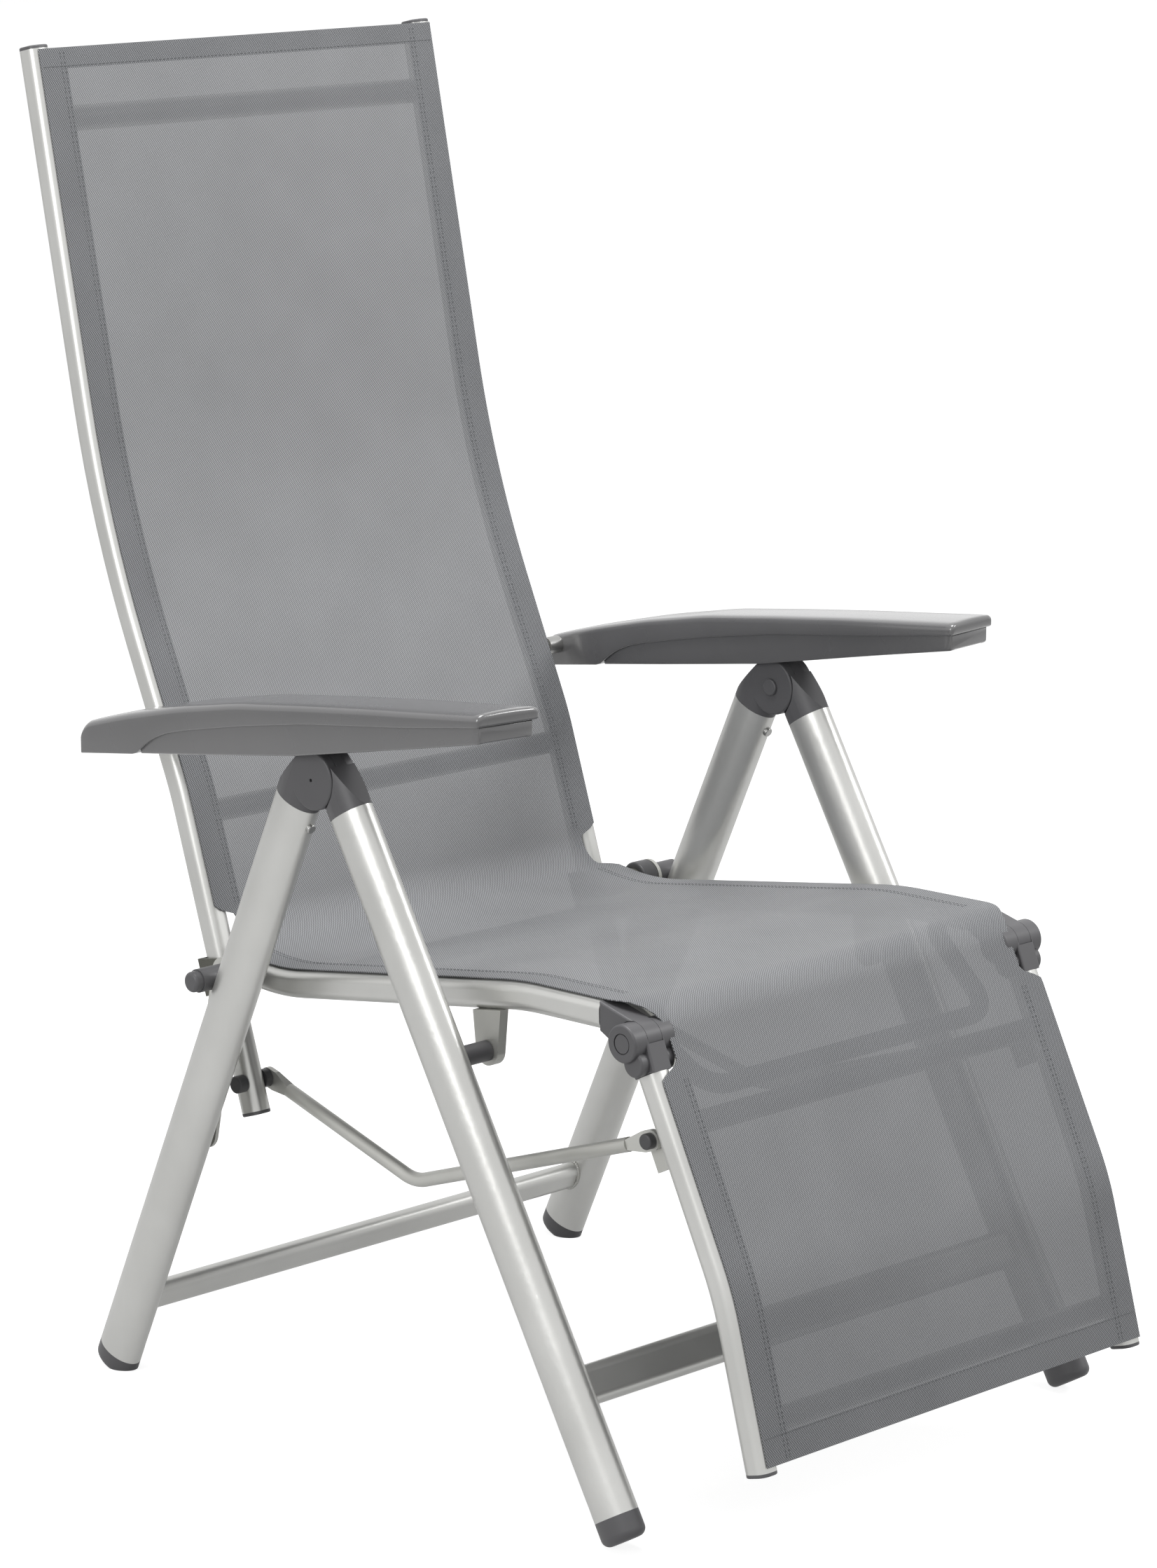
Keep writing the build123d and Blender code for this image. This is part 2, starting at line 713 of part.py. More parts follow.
def knee_fork():
    """The two outer knuckles of the knee joint, fitted into the leg-rest rail."""
    inward = unit(rest_route[0], rest_route[1])
    body = knee_body(rest_route[0], inward, rail_inner, rail_outer)
    body += rounded_block(disc(knee, knee_radius), knee_inner, knee_outer, head_round)
    collar_at = step(knee, unit(knee, rest_route[0]), knee_collar_reach)
    collar_half = knee_collar_width / 2
    middle = (knee_inner + knee_outer) / 2
    collar = disc(collar_at, knee_collar_radius)
    body += rounded_block(collar, middle - collar_half, middle + collar_half, head_round)
    slot_half = knee_tongue_width / 2 + side_gap
    body -= rod_across(knee, knee_radius + knee_gap, rail_x - slot_half, rail_x + slot_half)
    body -= rod_across(knee, knee_pin_radius + fit, knee_inner - overrun, knee_outer + overrun)
    body -= rod_across(knee, knee_recess_radius, knee_outer - knee_recess, knee_outer + overrun)
    body -= rod_across(knee, knee_recess_radius, knee_inner - overrun, knee_inner + knee_recess)
    return body + rail_spigot(rest_route[0], inward)


def knee_pin():
    """A rivet through the knee joint, its heads in shallow recesses."""
    outer = knee_outer - knee_recess + fit
    inner = knee_inner + knee_recess - fit
    pin = rod_across(knee, knee_pin_radius, inner, outer)
    pin += rod_across(knee, knee_pin_head_radius, outer, outer + knee_pin_head)
    return pin + rod_across(knee, knee_pin_head_radius, inner - knee_pin_head, inner)


def pivot_axle():
    """The bolt that carries bracket, seat rail, bush, link and sleeve."""
    inner = bracket_inner - side_gap
    head = rod_across(pivot, pivot_head_radius, inner - pivot_head, inner)
    head = fillet(head.faces().sort_by(Axis.X)[0].edges(), pivot_head / 2)
    outer = link_outer + side_gap + sleeve_length - sleeve_step
    return head + rod_across(pivot, pivot_radius, inner, outer)


def pivot_bush():
    outline = disc(pivot, bush_radius)
    ring = rounded_block(outline, bracket_outer + side_gap, link_inner - side_gap, bush_round)
    return ring - rod_across(pivot, pivot_radius + fit, bracket_outer, link_inner)


def pivot_sleeve():
    """The stepped sleeve behind the rear leg, closed at its outer end."""
    start = link_outer + side_gap
    step_x = start + sleeve_length - sleeve_step
    end = start + sleeve_length
    wide = rod_across(pivot, sleeve_radius, start, step_x)
    narrow = rod_across(pivot, sleeve_end_radius, step_x, end)
    narrow = fillet(narrow.faces().sort_by(Axis.X)[-1].edges(), sleeve_round)
    return wide + narrow - rod_across(pivot, pivot_radius + fit, start - overrun, step_x)


def hanger_link():
    """A flat bar with round ends, from the pivot to the rear leg."""
    ahead = unit(pivot, link_foot)
    across = (-ahead[1], ahead[0])
    sides = [step(pivot, across, link_radius), step(pivot, across, -link_radius),
             step(link_foot, across, -link_radius), step(link_foot, across, link_radius)]
    outline = shape_of(*sides) + disc(pivot, link_radius) + disc(link_foot, link_radius)
    bar = slab(outline, link_inner, link_outer)
    bar -= rod_across(pivot, pivot_radius + fit, link_inner - overrun, link_outer + overrun)
    return bar - rod_across(link_foot, rivet_radius + fit, link_inner - overrun, link_outer + overrun)


def hanger_rivet():
    """The lower rivet: its end stops just short of the leg."""
    shank = rod_across(link_foot, rivet_radius, link_inner, leg_inner - sleeve_gap)
    head = rod_across(link_foot, rivet_head_radius, link_inner - rivet_head, link_inner)
    return shank + fillet(head.faces().sort_by(Axis.X)[0].edges(), rivet_round)


def back_rail():
    radii = [back_bend_radius, back_upper_bend_radius]
    tube = rail_tube(back_route, radii)
    tube -= rod_across(tail_pin, tail_pin_radius + fit, rail_inner - overrun, rail_outer + overrun)
    return tube - rod_across(arm_pivot, arm_bolt_radius + fit, rail_inner - overrun, rail_outer + overrun)


def back_rail_plugs():
    top = plug(back_route[-1], unit(back_route[-1], back_route[-2]))
    tail = plug(back_route[0], unit(back_route[0], back_route[1]))
    tail -= rod_across(tail_pin, tail_pin_radius + fit, rail_inner - overrun, rail_outer + overrun)
    return both_sides(top) + both_sides(tail)


def back_bracket():
    """The U that wraps the back rail and reaches forward to the pivot."""
    behind = (cos(radians(back_lower_tilt)), -sin(radians(back_lower_tilt)))
    top = step(back_point(bracket_top_z), behind, rail_depth / 2)
    bottom = step(back_point(bracket_bottom_z), behind, rail_depth / 2)
    top_rear = step(top, behind, bracket_thickness)
    bottom_rear = step(bottom, behind, bracket_thickness)
    plate = shape_of(top_rear, tangent_point(top_rear, pivot, bracket_nose_radius, 1), pivot,
                     tangent_point(bottom_rear, pivot, bracket_nose_radius, -1), bottom_rear)
    plate = plate + disc(pivot, bracket_nose_radius)
    outer = slab(plate, bracket_outer - bracket_thickness, bracket_outer)
    inner = slab(plate, bracket_inner, bracket_inner + bracket_thickness)
    wall = slab(shape_of(top, top_rear, bottom_rear, bottom), bracket_inner, bracket_outer)
    bracket = outer + inner + wall
    return bracket - rod_across(pivot, pivot_radius + fit, bracket_inner - overrun, bracket_outer + overrun)


def tail_pin_set():
    """The pin at the back's tail: outer cap, spacer, and the head inside the rod's eye."""
    cap = rod_across(tail_pin, tail_cap_radius, rail_outer, rail_outer + tail_cap)
    cap = fillet(cap.faces().sort_by(Axis.X)[-1].edges(), rivet_round)
    spacer = rod_across(tail_pin, tail_spacer_radius, rod_tail_outer + side_gap, rail_inner)
    eye_inner = rod_tail_outer - rod_eye_thickness
    shank = rod_across(tail_pin, tail_pin_radius, eye_inner - side_gap, rail_outer)
    head = rod_across(tail_pin, tail_head_radius, eye_inner - side_gap - tail_head, eye_inner - side_gap)
    head = fillet(head.faces().sort_by(Axis.X)[0].edges(), rivet_round)
    return cap + spacer + shank + head


def rod_section(centre, toward, x, distance):
    """The plane square to a rod's end, at a distance from its eye."""
    return Plane(origin=(x, *step(centre, toward, distance)), x_dir=(1, 0, 0), z_dir=(0, *toward))


def rod_end(centre, toward, x, radius):
    """A flattened eye and the taper from it to the round rod."""
    half = rod_eye_thickness / 2
    eye = rod_across(centre, rod_eye_radius, x - half, x + half)
    flat = Rectangle(rod_eye_thickness, 2 * rod_eye_radius)
    eye += extrude(rod_section(centre, toward, x, 0) * flat, amount=rod_eye_radius)
    inscribed = rod_radius * 2 ** 0.5
    taper_from = rod_section(centre, toward, x, rod_eye_radius) * flat
    taper_to = rod_section(centre, toward, x, rod_neck) * Rectangle(inscribed, inscribed)
    return eye + loft([taper_from, taper_to]) - rod_across(centre, radius, x - rod_radius, x + rod_radius)


def link_rod():
    """The bent rod from the back's tail to the leg rest."""
    tail_toward = unit(tail_pin, rod_bend)
    front_toward = unit(rod_pin, rod_bend)
    tail_start = step(tail_pin, tail_toward, rod_neck)
    front_start = step(rod_pin, front_toward, rod_neck)
    bend_share = (tail_pin[0] - rod_bend[0]) / (tail_pin[0] - rod_pin[0])
    bend_x = rod_tail_x + (rod_front_x - rod_tail_x) * bend_share
    wire = FilletPolyline((rod_tail_x, *tail_start), (bend_x, *rod_bend), (rod_front_x, *front_start),
                          radius=rod_bend_radius)
    start = Plane(origin=wire @ 0, z_dir=wire % 0)
    bar = sweep(start * Circle(rod_radius), path=wire)
    bar += rod_end(tail_pin, tail_toward, rod_tail_x, tail_pin_radius + fit)
    return bar + rod_end(rod_pin, front_toward, rod_front_x, rod_pin_radius + fit)


def rod_front_pin():
    """The rod's front pin: its inner end stops just short of the leg rest's plate."""
    half = rod_eye_thickness / 2
    shank = rod_across(rod_pin, rod_pin_radius, rod_plate_outer + rod_open_gap, rod_front_x + half)
    cap = rod_across(rod_pin, rod_cap_radius, rod_front_x + half, rod_front_x + half + rod_cap)
    return shank + fillet(cap.faces().sort_by(Axis.X)[-1].edges(), rivet_round)


def rest_point(drop):
    """The leg-rest rail's centre line at a drop below the knee."""
    z = knee_z - drop
    run = rest_route[:2] if drop < rest_bend_drop else rest_route[1:]
    return along_at_z(run[0], run[1], z)


def rod_plate():
    """The plate on the rear of the leg-rest rail that the rod's pin stands against."""
    down = unit(rest_route[0], rest_route[1])
    behind = (-down[1], down[0])
    on_axis = rest_point(rod_pin_drop)
    face = [step(step(on_axis, behind, rail_depth / 2), down, turn * rod_plate_half) for turn in (-1, 1)]
    reach = (rod_pin[0] + rod_plate_reach - on_axis[0]) * behind[0] - rail_depth / 2
    rear = [step(point, behind, reach) for point in face]
    return slab(shape_of(face[0], face[1], rear[1], rear[0]), rod_plate_inner, rod_plate_outer)


def rest_rail():
    return rail_tube(rest_route, [rest_bend_radius])


def rest_end_plug():
    return plug(rest_route[-1], unit(rest_route[-1], rest_route[-2]))


def over_hub(y, rise):
    """The side-view point at depth y, at a height above the hub."""
    return (y, hub_z + rise)


def arm_outline():
    """The armrest from the side."""
    return shape_of(over_hub(arm_front_y, arm_front_top_rise),
                    over_hub(arm_crown_y, arm_crown_rise),
                    over_hub(arm_slope_y, arm_slope_rise),
                    over_hub(arm_shoulder_y, arm_shoulder_rise),
                    over_hub(arm_tail_y, arm_tail_rise),
                    over_hub(arm_rear_y, arm_rear_bottom_rise),
                    over_hub(arm_belly_y, arm_belly_rise),
                    over_hub(arm_front_y, arm_front_bottom_rise))


def arm_base_outline():
    """The base: what lies below the seam."""
    ahead = arm_front_y - overrun
    below = arm_bottom_z - overrun
    return shape_of(over_hub(ahead, arm_front_seam_rise),
                    over_hub(arm_seam_turn_y, arm_seam_turn_rise),
                    over_hub(arm_seam_bow_y, arm_seam_bow_rise),
                    (arm_seam_root_y, below), (ahead, below))


def arm_plan(width, rear_width, front_y, rear_y):
    """The armrest from above: it narrows to the rear and its front end is skewed."""
    half, rear_half = width / 2, rear_width / 2
    outline = shape_of((arm_x + half, front_y), (arm_x + rear_half, rear_y),
                       (arm_x - rear_half, rear_y), (arm_x - half, front_y - arm_skew))
    outline = fillet(outline.vertices(), arm_round)
    height = arm_front_top_rise - arm_rear_bottom_rise + 2 * overrun
    return Pos(0, 0, arm_bottom_z - overrun) * extrude(outline, amount=height)


def arm_hollow():
    """The space inside the two shells."""
    inside = offset(arm_outline(), amount=-arm_wall)
    half = arm_base_width / 2 - arm_wall
    return slab(inside, arm_x - half, arm_x + half)


def arm_block(plan):
    """The armrest's outer form, cut to its plan."""
    long_side = slab(arm_outline(), arm_inner - overrun, arm_inner + arm_width + overrun)
    return (long_side + arm_front_piece()) & plan


def arm_front_piece():
    """The armrest's front end, carried on past the side outline for the skewed end."""
    tip_y = arm_front_y - arm_skew - arm_nose
    outline = shape_of(over_hub(arm_front_y, arm_front_top_rise),
                       over_hub(arm_front_y, arm_front_bottom_rise),
                       over_hub(tip_y, arm_front_bottom_rise), over_hub(tip_y, arm_front_top_rise))
    return slab(outline, arm_inner - overrun, arm_inner + arm_width + overrun)


def arm_base():
    """The lower shell, with the sliding face that runs on the hub."""
    plan = arm_plan(arm_base_width, arm_rear_width - arm_nose, arm_front_y + arm_nose, arm_rear_y)
    block = arm_block(plan)
    block &= slab(arm_base_outline(), arm_inner - overrun, arm_inner + arm_width + overrun)
    block -= arm_hollow()
    floor_half = arm_base_width / 2 - arm_wall
    block += slab(arm_track_floor(), arm_x - floor_half, arm_x + floor_half) & plan
    track_half = arm_base_width / 2 - arm_track_wall
    return block - slab(arm_track_cut(), arm_x - track_half, arm_x + track_half)


def track_line(lift):
    """Two points of the line that touches the hub, moved up by lift."""
    tilt = radians(arm_track_tilt)
    above = (sin(tilt), cos(tilt))
    touch = step(hub, above, hub_radius + arm_track_gap + lift)
    rearward = (cos(tilt), -sin(tilt))
    front = along_at_y(touch, step(touch, rearward, 1), arm_track_front)
    rear = along_at_y(touch, step(touch, rearward, 1), arm_track_rear)
    return front, rear


def arm_track_cut():
    """The shallow channel under the armrest."""
    front, rear = track_line(0)
    low_rear = (rear[0], rear[1] - arm_track_open)
    return shape_of(front, rear, low_rear, (front[0], low_rear[1]))


def arm_track_floor():
    """The wall above the channel."""
    front, rear = track_line(0)
    high_front, high_rear = track_line(arm_wall)
    return shape_of(front, rear, high_rear, high_front)


def arm_top():
    """The upper shell, which also forms the whole rear end, with the pivot's boss."""
    plan = arm_plan(arm_width, arm_rear_width, arm_front_y, arm_rear_y)
    block = arm_block(plan)
    block -= slab(arm_base_outline(), arm_inner - overrun, arm_inner + arm_width + overrun)
    block -= arm_hollow()
    wall = arm_x - arm_rear_width / 2
    boss_end = wall + arm_boss_length
    block += rod_across(arm_pivot, arm_boss_radius, wall + arm_round / 2, boss_end)
    return block - rod_across(arm_pivot, arm_bolt_radius + fit, arm_inner - overrun, boss_end + overrun)


def arm_pivot_bolt():
    """The bolt from the back rail into the armrest, with a collar between them."""
    inner = rail_inner - side_gap
    head = rod_across(arm_pivot, arm_bolt_head_radius, inner - arm_bolt_head, inner)
    head = fillet(head.faces().sort_by(Axis.X)[0].edges(), rivet_round)
    wall = arm_x - arm_rear_width / 2
    shank = rod_across(arm_pivot, arm_bolt_radius, inner, wall + arm_boss_length)
    collar = rod_across(arm_pivot, arm_collar_radius, rail_outer + side_gap, wall - side_gap)
    return head + shank + collar


def sling_half_width():
    return rail_outer - sling_side_reveal


def sheet_along(points, radii):
    """A thin sheet across the chair, along a route in the side plane."""
    wire = route_wire(points, radii, 0)
    plane = Plane(origin=wire @ 0, x_dir=(1, 0, 0), z_dir=wire % 0)
    return sweep(plane * Rectangle(2 * sling_half_width(), sling_thickness), path=wire)


def edge_cuts(low, high, front, rear, depth):
    """Blocks that narrow a sheet at both edges, between two heights and two depths."""
    half = sling_half_width()
    block = Box(2 * depth, rear - front, high - low)
    middle = ((front + rear) / 2, (low + high) / 2)
    left = Pos(half, middle[0], middle[1]) * block
    return left + Pos(-half, middle[0], middle[1]) * block


def lumbar_cuts():
    front = pivot[0]
    rear = back_point(sling_notch_top_z)[0]
    return edge_cuts(sling_notch_bottom_z, sling_notch_top_z, front, rear, sling_notch_depth)


def knee_cuts():
    low, high = knee_z - sling_knee_cut_drop, knee_z + 2 * sling_knee_cut_drop
    front = knee_y - 2 * sling_knee_cut_behind
    return edge_cuts(low, high, front, knee_y + sling_knee_cut_behind, sling_knee_cut_depth)


sling_lift = rail_depth / 2 + sling_gap + sling_thickness / 2
back_sling_line = beside(back_route, sling_lift)
seat_sling_line = beside(seat_route, -sling_lift)
rest_sling_line = beside(rest_route, -sling_lift)


def back_sling():
    """The fabric of the back, along the fronts of its rails."""
    bottom = along_at_z(back_sling_line[0], back_sling_line[1], sling_split_z)
    top = along_at_z(back_sling_line[2], back_sling_line[3], back_top_z - sling_top_gap)
    points = [bottom, back_sling_line[1], back_sling_line[2], top]
    return sheet_along(points, [back_bend_radius - sling_lift, back_upper_bend_radius + sling_lift])


def seat_sling():
    """The fabric of the seat, turned up into the back and down over the knee."""
    start = along_at_z(back_sling_line[0], back_sling_line[1], sling_split_z - sling_split_gap)
    lumbar = crossing(back_sling_line[0], back_sling_line[1], seat_sling_line[0], seat_sling_line[1])
    over_knee = crossing(seat_sling_line[2], seat_sling_line[3], rest_sling_line[0], rest_sling_line[1])
    split_z = knee_z - sling_rest_split_drop
    end = along_at_z(rest_sling_line[0], rest_sling_line[1], split_z + sling_split_gap)
    points = [start, lumbar, seat_sling_line[1], seat_sling_line[2], over_knee, end]
    radii = [sling_lumbar_radius, seat_rear_bend_radius - sling_lift, seat_front_bend_radius + sling_lift,
             sling_knee_radius]
    return sheet_along(points, radii) - lumbar_cuts() - knee_cuts()


def rest_sling():
    """The fabric of the leg rest."""
    top = along_at_z(rest_sling_line[0], rest_sling_line[1], knee_z - sling_rest_split_drop)
    bottom_z = knee_z - rest_end_drop + sling_end_gap
    bottom = along_at_z(rest_sling_line[1], rest_sling_line[2], bottom_z)
    sheet = sheet_along([top, rest_sling_line[1], bottom], [rest_bend_radius - sling_lift])
    return sheet - knee_cuts()


def leg_frames(nodes):
    """The two frames that stand on the floor."""
    add_pair(nodes, "rear_leg", rear_leg())
    rear = leg_body(rear_tube_end, rear_tube_top)
    nodes["rear_crossbar"] = [crossbar(rear_crossbar_at, rear_crossbar_height, rear_down, rear)]
    add_pair(nodes, "rear_head", rear_head())
    nodes["rear_feet"] = both_sides(foot(rear_tube_end, rear_down, rear_foot_length))
    nodes["hub_pins"] = both_sides(hub_pin())
    nodes["rear_head_screws"] = both_sides(head_screw())
    add_pair(nodes, "front_leg", front_leg())
    front = leg_body(front_tube_end, front_tube_top)
    nodes["front_crossbar"] = [crossbar(front_crossbar_at, front_crossbar_height, front_down, front)]
    add_pair(nodes, "front_head", front_head())
    nodes["front_feet"] = both_sides(foot(front_tube_end, front_down, front_foot_length))
    nodes["seat_pivot_bolts"] = both_sides(seat_pivot_bolt())
    nodes["seat_pivot_spacers"] = both_sides(seat_pivot_spacer())


def seat_frame(nodes):
    """The seat, its pivots and the hanger links."""
    add_pair(nodes, "seat_rail", seat_rail())
    nodes["seat_rear_plugs"] = both_sides(seat_rear_plug())
    nodes["seat_rear_bar"] = [seat_rear_bar()]
    nodes["seat_front_bar"] = [seat_front_bar()]
    nodes["seat_brackets"] = both_sides(seat_bracket())
    add_pair(nodes, "seat_elbow", seat_elbow())
    nodes["knee_pins"] = both_sides(knee_pin())
    nodes["pivot_axles"] = both_sides(pivot_axle())
    nodes["pivot_bushes"] = both_sides(pivot_bush())
    add_pair(nodes, "pivot_sleeve", pivot_sleeve())
    nodes["seat_sling"] = [seat_sling()]
    add_pair(nodes, "hanger_link", hanger_link())
    nodes["hanger_rivets"] = both_sides(hanger_rivet())


def back_frame(nodes):
    """The back, with the pins at its tails."""
    add_pair(nodes, "back_rail", back_rail())
    top_bar_at = back_point(back_top_z - back_top_bar_drop)
    nodes["back_top_bar"] = [round_bar(top_bar_at, back_top_bar_radius, rail_inner)]
    nodes["back_lower_bar"] = [round_bar(back_point(back_lower_bar_z), back_lower_bar_radius, rail_inner)]
    add_pair(nodes, "back_bracket", back_bracket())
    nodes["back_rail_plugs"] = back_rail_plugs()
    nodes["tail_pins"] = both_sides(tail_pin_set())
    nodes["back_sling"] = [back_sling()]


def leg_rest(nodes):
    """The leg rest and the rods that raise it."""
    add_pair(nodes, "knee_fork", knee_fork())
    add_pair(nodes, "legrest_rail", rest_rail())
    nodes["legrest_top_bar"] = [round_bar(rest_point(rest_top_bar_drop), rest_top_bar_radius, rail_inner)]
    bottom_at = rest_point(rest_bottom_bar_drop)
    nodes["legrest_bottom_bar"] = [round_bar(bottom_at, rest_bottom_bar_radius, rail_inner)]
    nodes["rod_plates"] = both_sides(rod_plate())
    nodes["legrest_end_plugs"] = both_sides(rest_end_plug())
    nodes["legrest_sling"] = [rest_sling()]
    add_pair(nodes, "link_rod", link_rod())
    nodes["rod_front_pins"] = both_sides(rod_front_pin())


def armrests(nodes):
    """The armrests, each in two shells."""
    nodes["arm_pivot_bolts"] = both_sides(arm_pivot_bolt())
    add_pair(nodes, "armrest_top", arm_top())
    add_pair(nodes, "armrest_base", arm_base())


def build():
    """Every node, with the origin in the middle of the chair's footprint."""
    nodes = {}
    leg_frames(nodes)
    seat_frame(nodes)
    back_frame(nodes)
    leg_rest(nodes)
    armrests(nodes)
    boxes = [solid.bounding_box() for solids in nodes.values() for solid in solids]
    middle = (min(box.min.Y for box in boxes) + max(box.max.Y for box in boxes)) / 2
    move = Pos(0, -middle, 0)
    placed = {name: [(move * part).solid() for part in parts] for name, parts in nodes.items()}
    return placed, middle


def report(middle):
    """Print the pivots in the finished frame."""
    places = {"hub": hub, "pivot": pivot, "seat_pivot": seat_pivot, "knee": knee, "tail_pin": tail_pin,
              "rod_pin": rod_pin, "link_foot": link_foot, "arm_pivot": arm_pivot}
    print("moved by", round(-middle, 3))
    for name, (y, z) in places.items():
        print(name, round(y - middle, 3), round(z, 3))


os.makedirs("parts", exist_ok=True)
chair, depth_middle = build()
report(depth_middle)
for node_name, node_solids in chair.items():
    export_step(Compound(node_solids), "parts/" + node_name + ".step")
print(len(chair), "nodes")
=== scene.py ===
# %% [markdown]
# # A reclining garden armchair
# The chair is a folding frame of silver tubes with grey plastic joints. One long piece of
# woven mesh is stretched over it, from the top of the back to the foot of the leg rest.
# The tubes and joints arrive finished from the part's own source. This lesson gives them
# their finishes, and makes what is soft or moulded: the mesh, its hems and stitches, the
# two armrests and the weld beads.

# %% Load the frame
import json
import math

import bmesh
import bpy
import numpy as np
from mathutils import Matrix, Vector


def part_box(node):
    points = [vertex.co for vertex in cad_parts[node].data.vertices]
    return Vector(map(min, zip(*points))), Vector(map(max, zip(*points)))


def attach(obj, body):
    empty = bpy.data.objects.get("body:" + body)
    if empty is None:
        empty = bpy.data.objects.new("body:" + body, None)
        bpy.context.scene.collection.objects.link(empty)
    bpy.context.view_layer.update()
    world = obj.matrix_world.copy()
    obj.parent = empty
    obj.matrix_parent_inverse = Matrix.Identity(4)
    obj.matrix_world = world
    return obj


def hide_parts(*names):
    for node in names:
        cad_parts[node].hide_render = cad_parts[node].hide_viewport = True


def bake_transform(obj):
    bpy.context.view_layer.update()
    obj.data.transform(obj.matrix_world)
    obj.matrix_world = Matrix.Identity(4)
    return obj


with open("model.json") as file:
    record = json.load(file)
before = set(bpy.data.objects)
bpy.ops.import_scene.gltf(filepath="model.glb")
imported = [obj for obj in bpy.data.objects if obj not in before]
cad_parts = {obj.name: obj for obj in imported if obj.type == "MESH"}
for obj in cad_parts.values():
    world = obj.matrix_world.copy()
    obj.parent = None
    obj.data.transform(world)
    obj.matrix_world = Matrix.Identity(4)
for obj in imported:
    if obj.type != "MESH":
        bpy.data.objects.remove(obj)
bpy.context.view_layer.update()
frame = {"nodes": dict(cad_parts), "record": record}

# %% [markdown]
# ## The camera
# The picture was taken from the chair's front right corner, a little above the seat, with a
# long lens. A long lens keeps the legs nearly parallel. The lens length is given for the
# long side of the picture, so the sensor is left to fit that side by itself.

# %% Camera
camera_data = bpy.data.cameras.new("camera")
camera_data.sensor_width = 36.0
camera_data.lens = 117.05
camera = bpy.data.objects.new("camera", camera_data)
bpy.context.scene.collection.objects.link(camera)
camera.location = (-2.9441, -3.0001, 1.4597)
camera.rotation_euler = Vector((0.684, 0.696, -0.2177)).to_track_quat("-Z", "Y").to_euler()
bpy.context.scene.camera = camera
bpy.context.scene.view_settings.view_transform = "Standard"
print("camera at", tuple(round(v, 3) for v in camera.location))

# %% [markdown]
# ## Floor, world and lamps
# The chair stands on plain white. The world is white where the camera, a gloss or a pane
# looks at it, and dimmer as a light, so the background clips to white and the metal does
# not. The floor glows for the camera, and half as much in a gloss. It still darkens in the
# chair's shadow.


# %% Helpers for nodes
def add_node(tree, kind, **settings):
    """Add a node and set its own settings."""
    node = tree.nodes.new(kind)
    for name, value in settings.items():
        setattr(node, name, value)
    return node


def math_node(tree, operation, *values):
    """A Math node's result; a value is a number or another node's output."""
    node = add_node(tree, "ShaderNodeMath", operation=operation)
    for socket, value in zip(node.inputs, values):
        if isinstance(value, bpy.types.NodeSocket):
            tree.links.new(value, socket)
        else:
            socket.default_value = value
    return node.outputs[0]


def map_range(tree, value, to_range, from_range=(0.0, 1.0)):
    """A value moved from one range to another."""
    node = add_node(tree, "ShaderNodeMapRange")
    labels = ("From Min", "From Max", "To Min", "To Max")
    for label, number in zip(labels, (*from_range, *to_range)):
        node.inputs[label].default_value = number
    tree.links.new(value, node.inputs["Value"])
    return node.outputs["Result"]


def seen_by(tree, *kinds):
    """1 for rays of the named kinds, and 0 for all others."""
    rays = add_node(tree, "ShaderNodeLightPath")
    result = rays.outputs[kinds[0]]
    for kind in kinds[1:]:
        result = math_node(tree, "MAXIMUM", result, rays.outputs[kind])
    return result


# %% World
world_light = 0.42
world = bpy.data.worlds.new("studio")
bpy.context.scene.world = world
world.use_nodes = True
sky = world.node_tree
direct = seen_by(sky, "Is Camera Ray", "Is Glossy Ray", "Is Transmission Ray")
background = sky.nodes["Background"]
background.inputs["Color"].default_value = (1.0, 1.0, 1.0, 1.0)
sky.links.new(map_range(sky, direct, (world_light, 1.0)), background.inputs["Strength"])
print("world light", world_light)

# %% Floor
floor_half, floor_z = 14.0, -0.0005
floor_tone, glow_tone, glow_in_gloss = 0.40, 0.87, 0.5
floor_corners = [(x * floor_half, y * floor_half, floor_z)
                 for x, y in ((-1, -1), (1, -1), (1, 1), (-1, 1))]
floor_mesh = bpy.data.meshes.new("floor")
floor_mesh.from_pydata(floor_corners, [], [(0, 1, 2, 3)])
floor = bpy.data.objects.new("floor", floor_mesh)
bpy.context.scene.collection.objects.link(floor)
floor_paint = bpy.data.materials.new("floor")
floor_paint.use_nodes = True
floor_tree = floor_paint.node_tree
floor_tree.nodes.remove(floor_tree.nodes["Principled BSDF"])
matt = add_node(floor_tree, "ShaderNodeBsdfDiffuse")
matt.inputs["Color"].default_value = (floor_tone, floor_tone, floor_tone, 1.0)
glow = add_node(floor_tree, "ShaderNodeEmission")
glow.inputs["Color"].default_value = (glow_tone, glow_tone, glow_tone, 1.0)
in_gloss = math_node(floor_tree, "MULTIPLY", seen_by(floor_tree, "Is Glossy Ray"), glow_in_gloss)
in_view = seen_by(floor_tree, "Is Camera Ray", "Is Transmission Ray")
floor_tree.links.new(math_node(floor_tree, "MAXIMUM", in_view, in_gloss), glow.inputs["Strength"])
both = add_node(floor_tree, "ShaderNodeAddShader")
floor_tree.links.new(matt.outputs[0], both.inputs[0])
floor_tree.links.new(glow.outputs[0], both.inputs[1])
floor_tree.links.new(both.outputs[0], floor_tree.nodes["Material Output"].inputs["Surface"])
floor_mesh.materials.append(floor_paint)
print("floor", 2 * floor_half, "m wide")


# %% Lamps
def soft_lamp(name, place, target, size, power):
    """A square lamp that faces a point."""
    data = bpy.data.lights.new(name, "AREA")
    data.size = size
    data.energy = power
    lamp = bpy.data.objects.new(name, data)
    lamp.location = place
    lamp.rotation_euler = (Vector(target) - Vector(place)).to_track_quat("-Z", "Y").to_euler()
    bpy.context.scene.collection.objects.link(lamp)


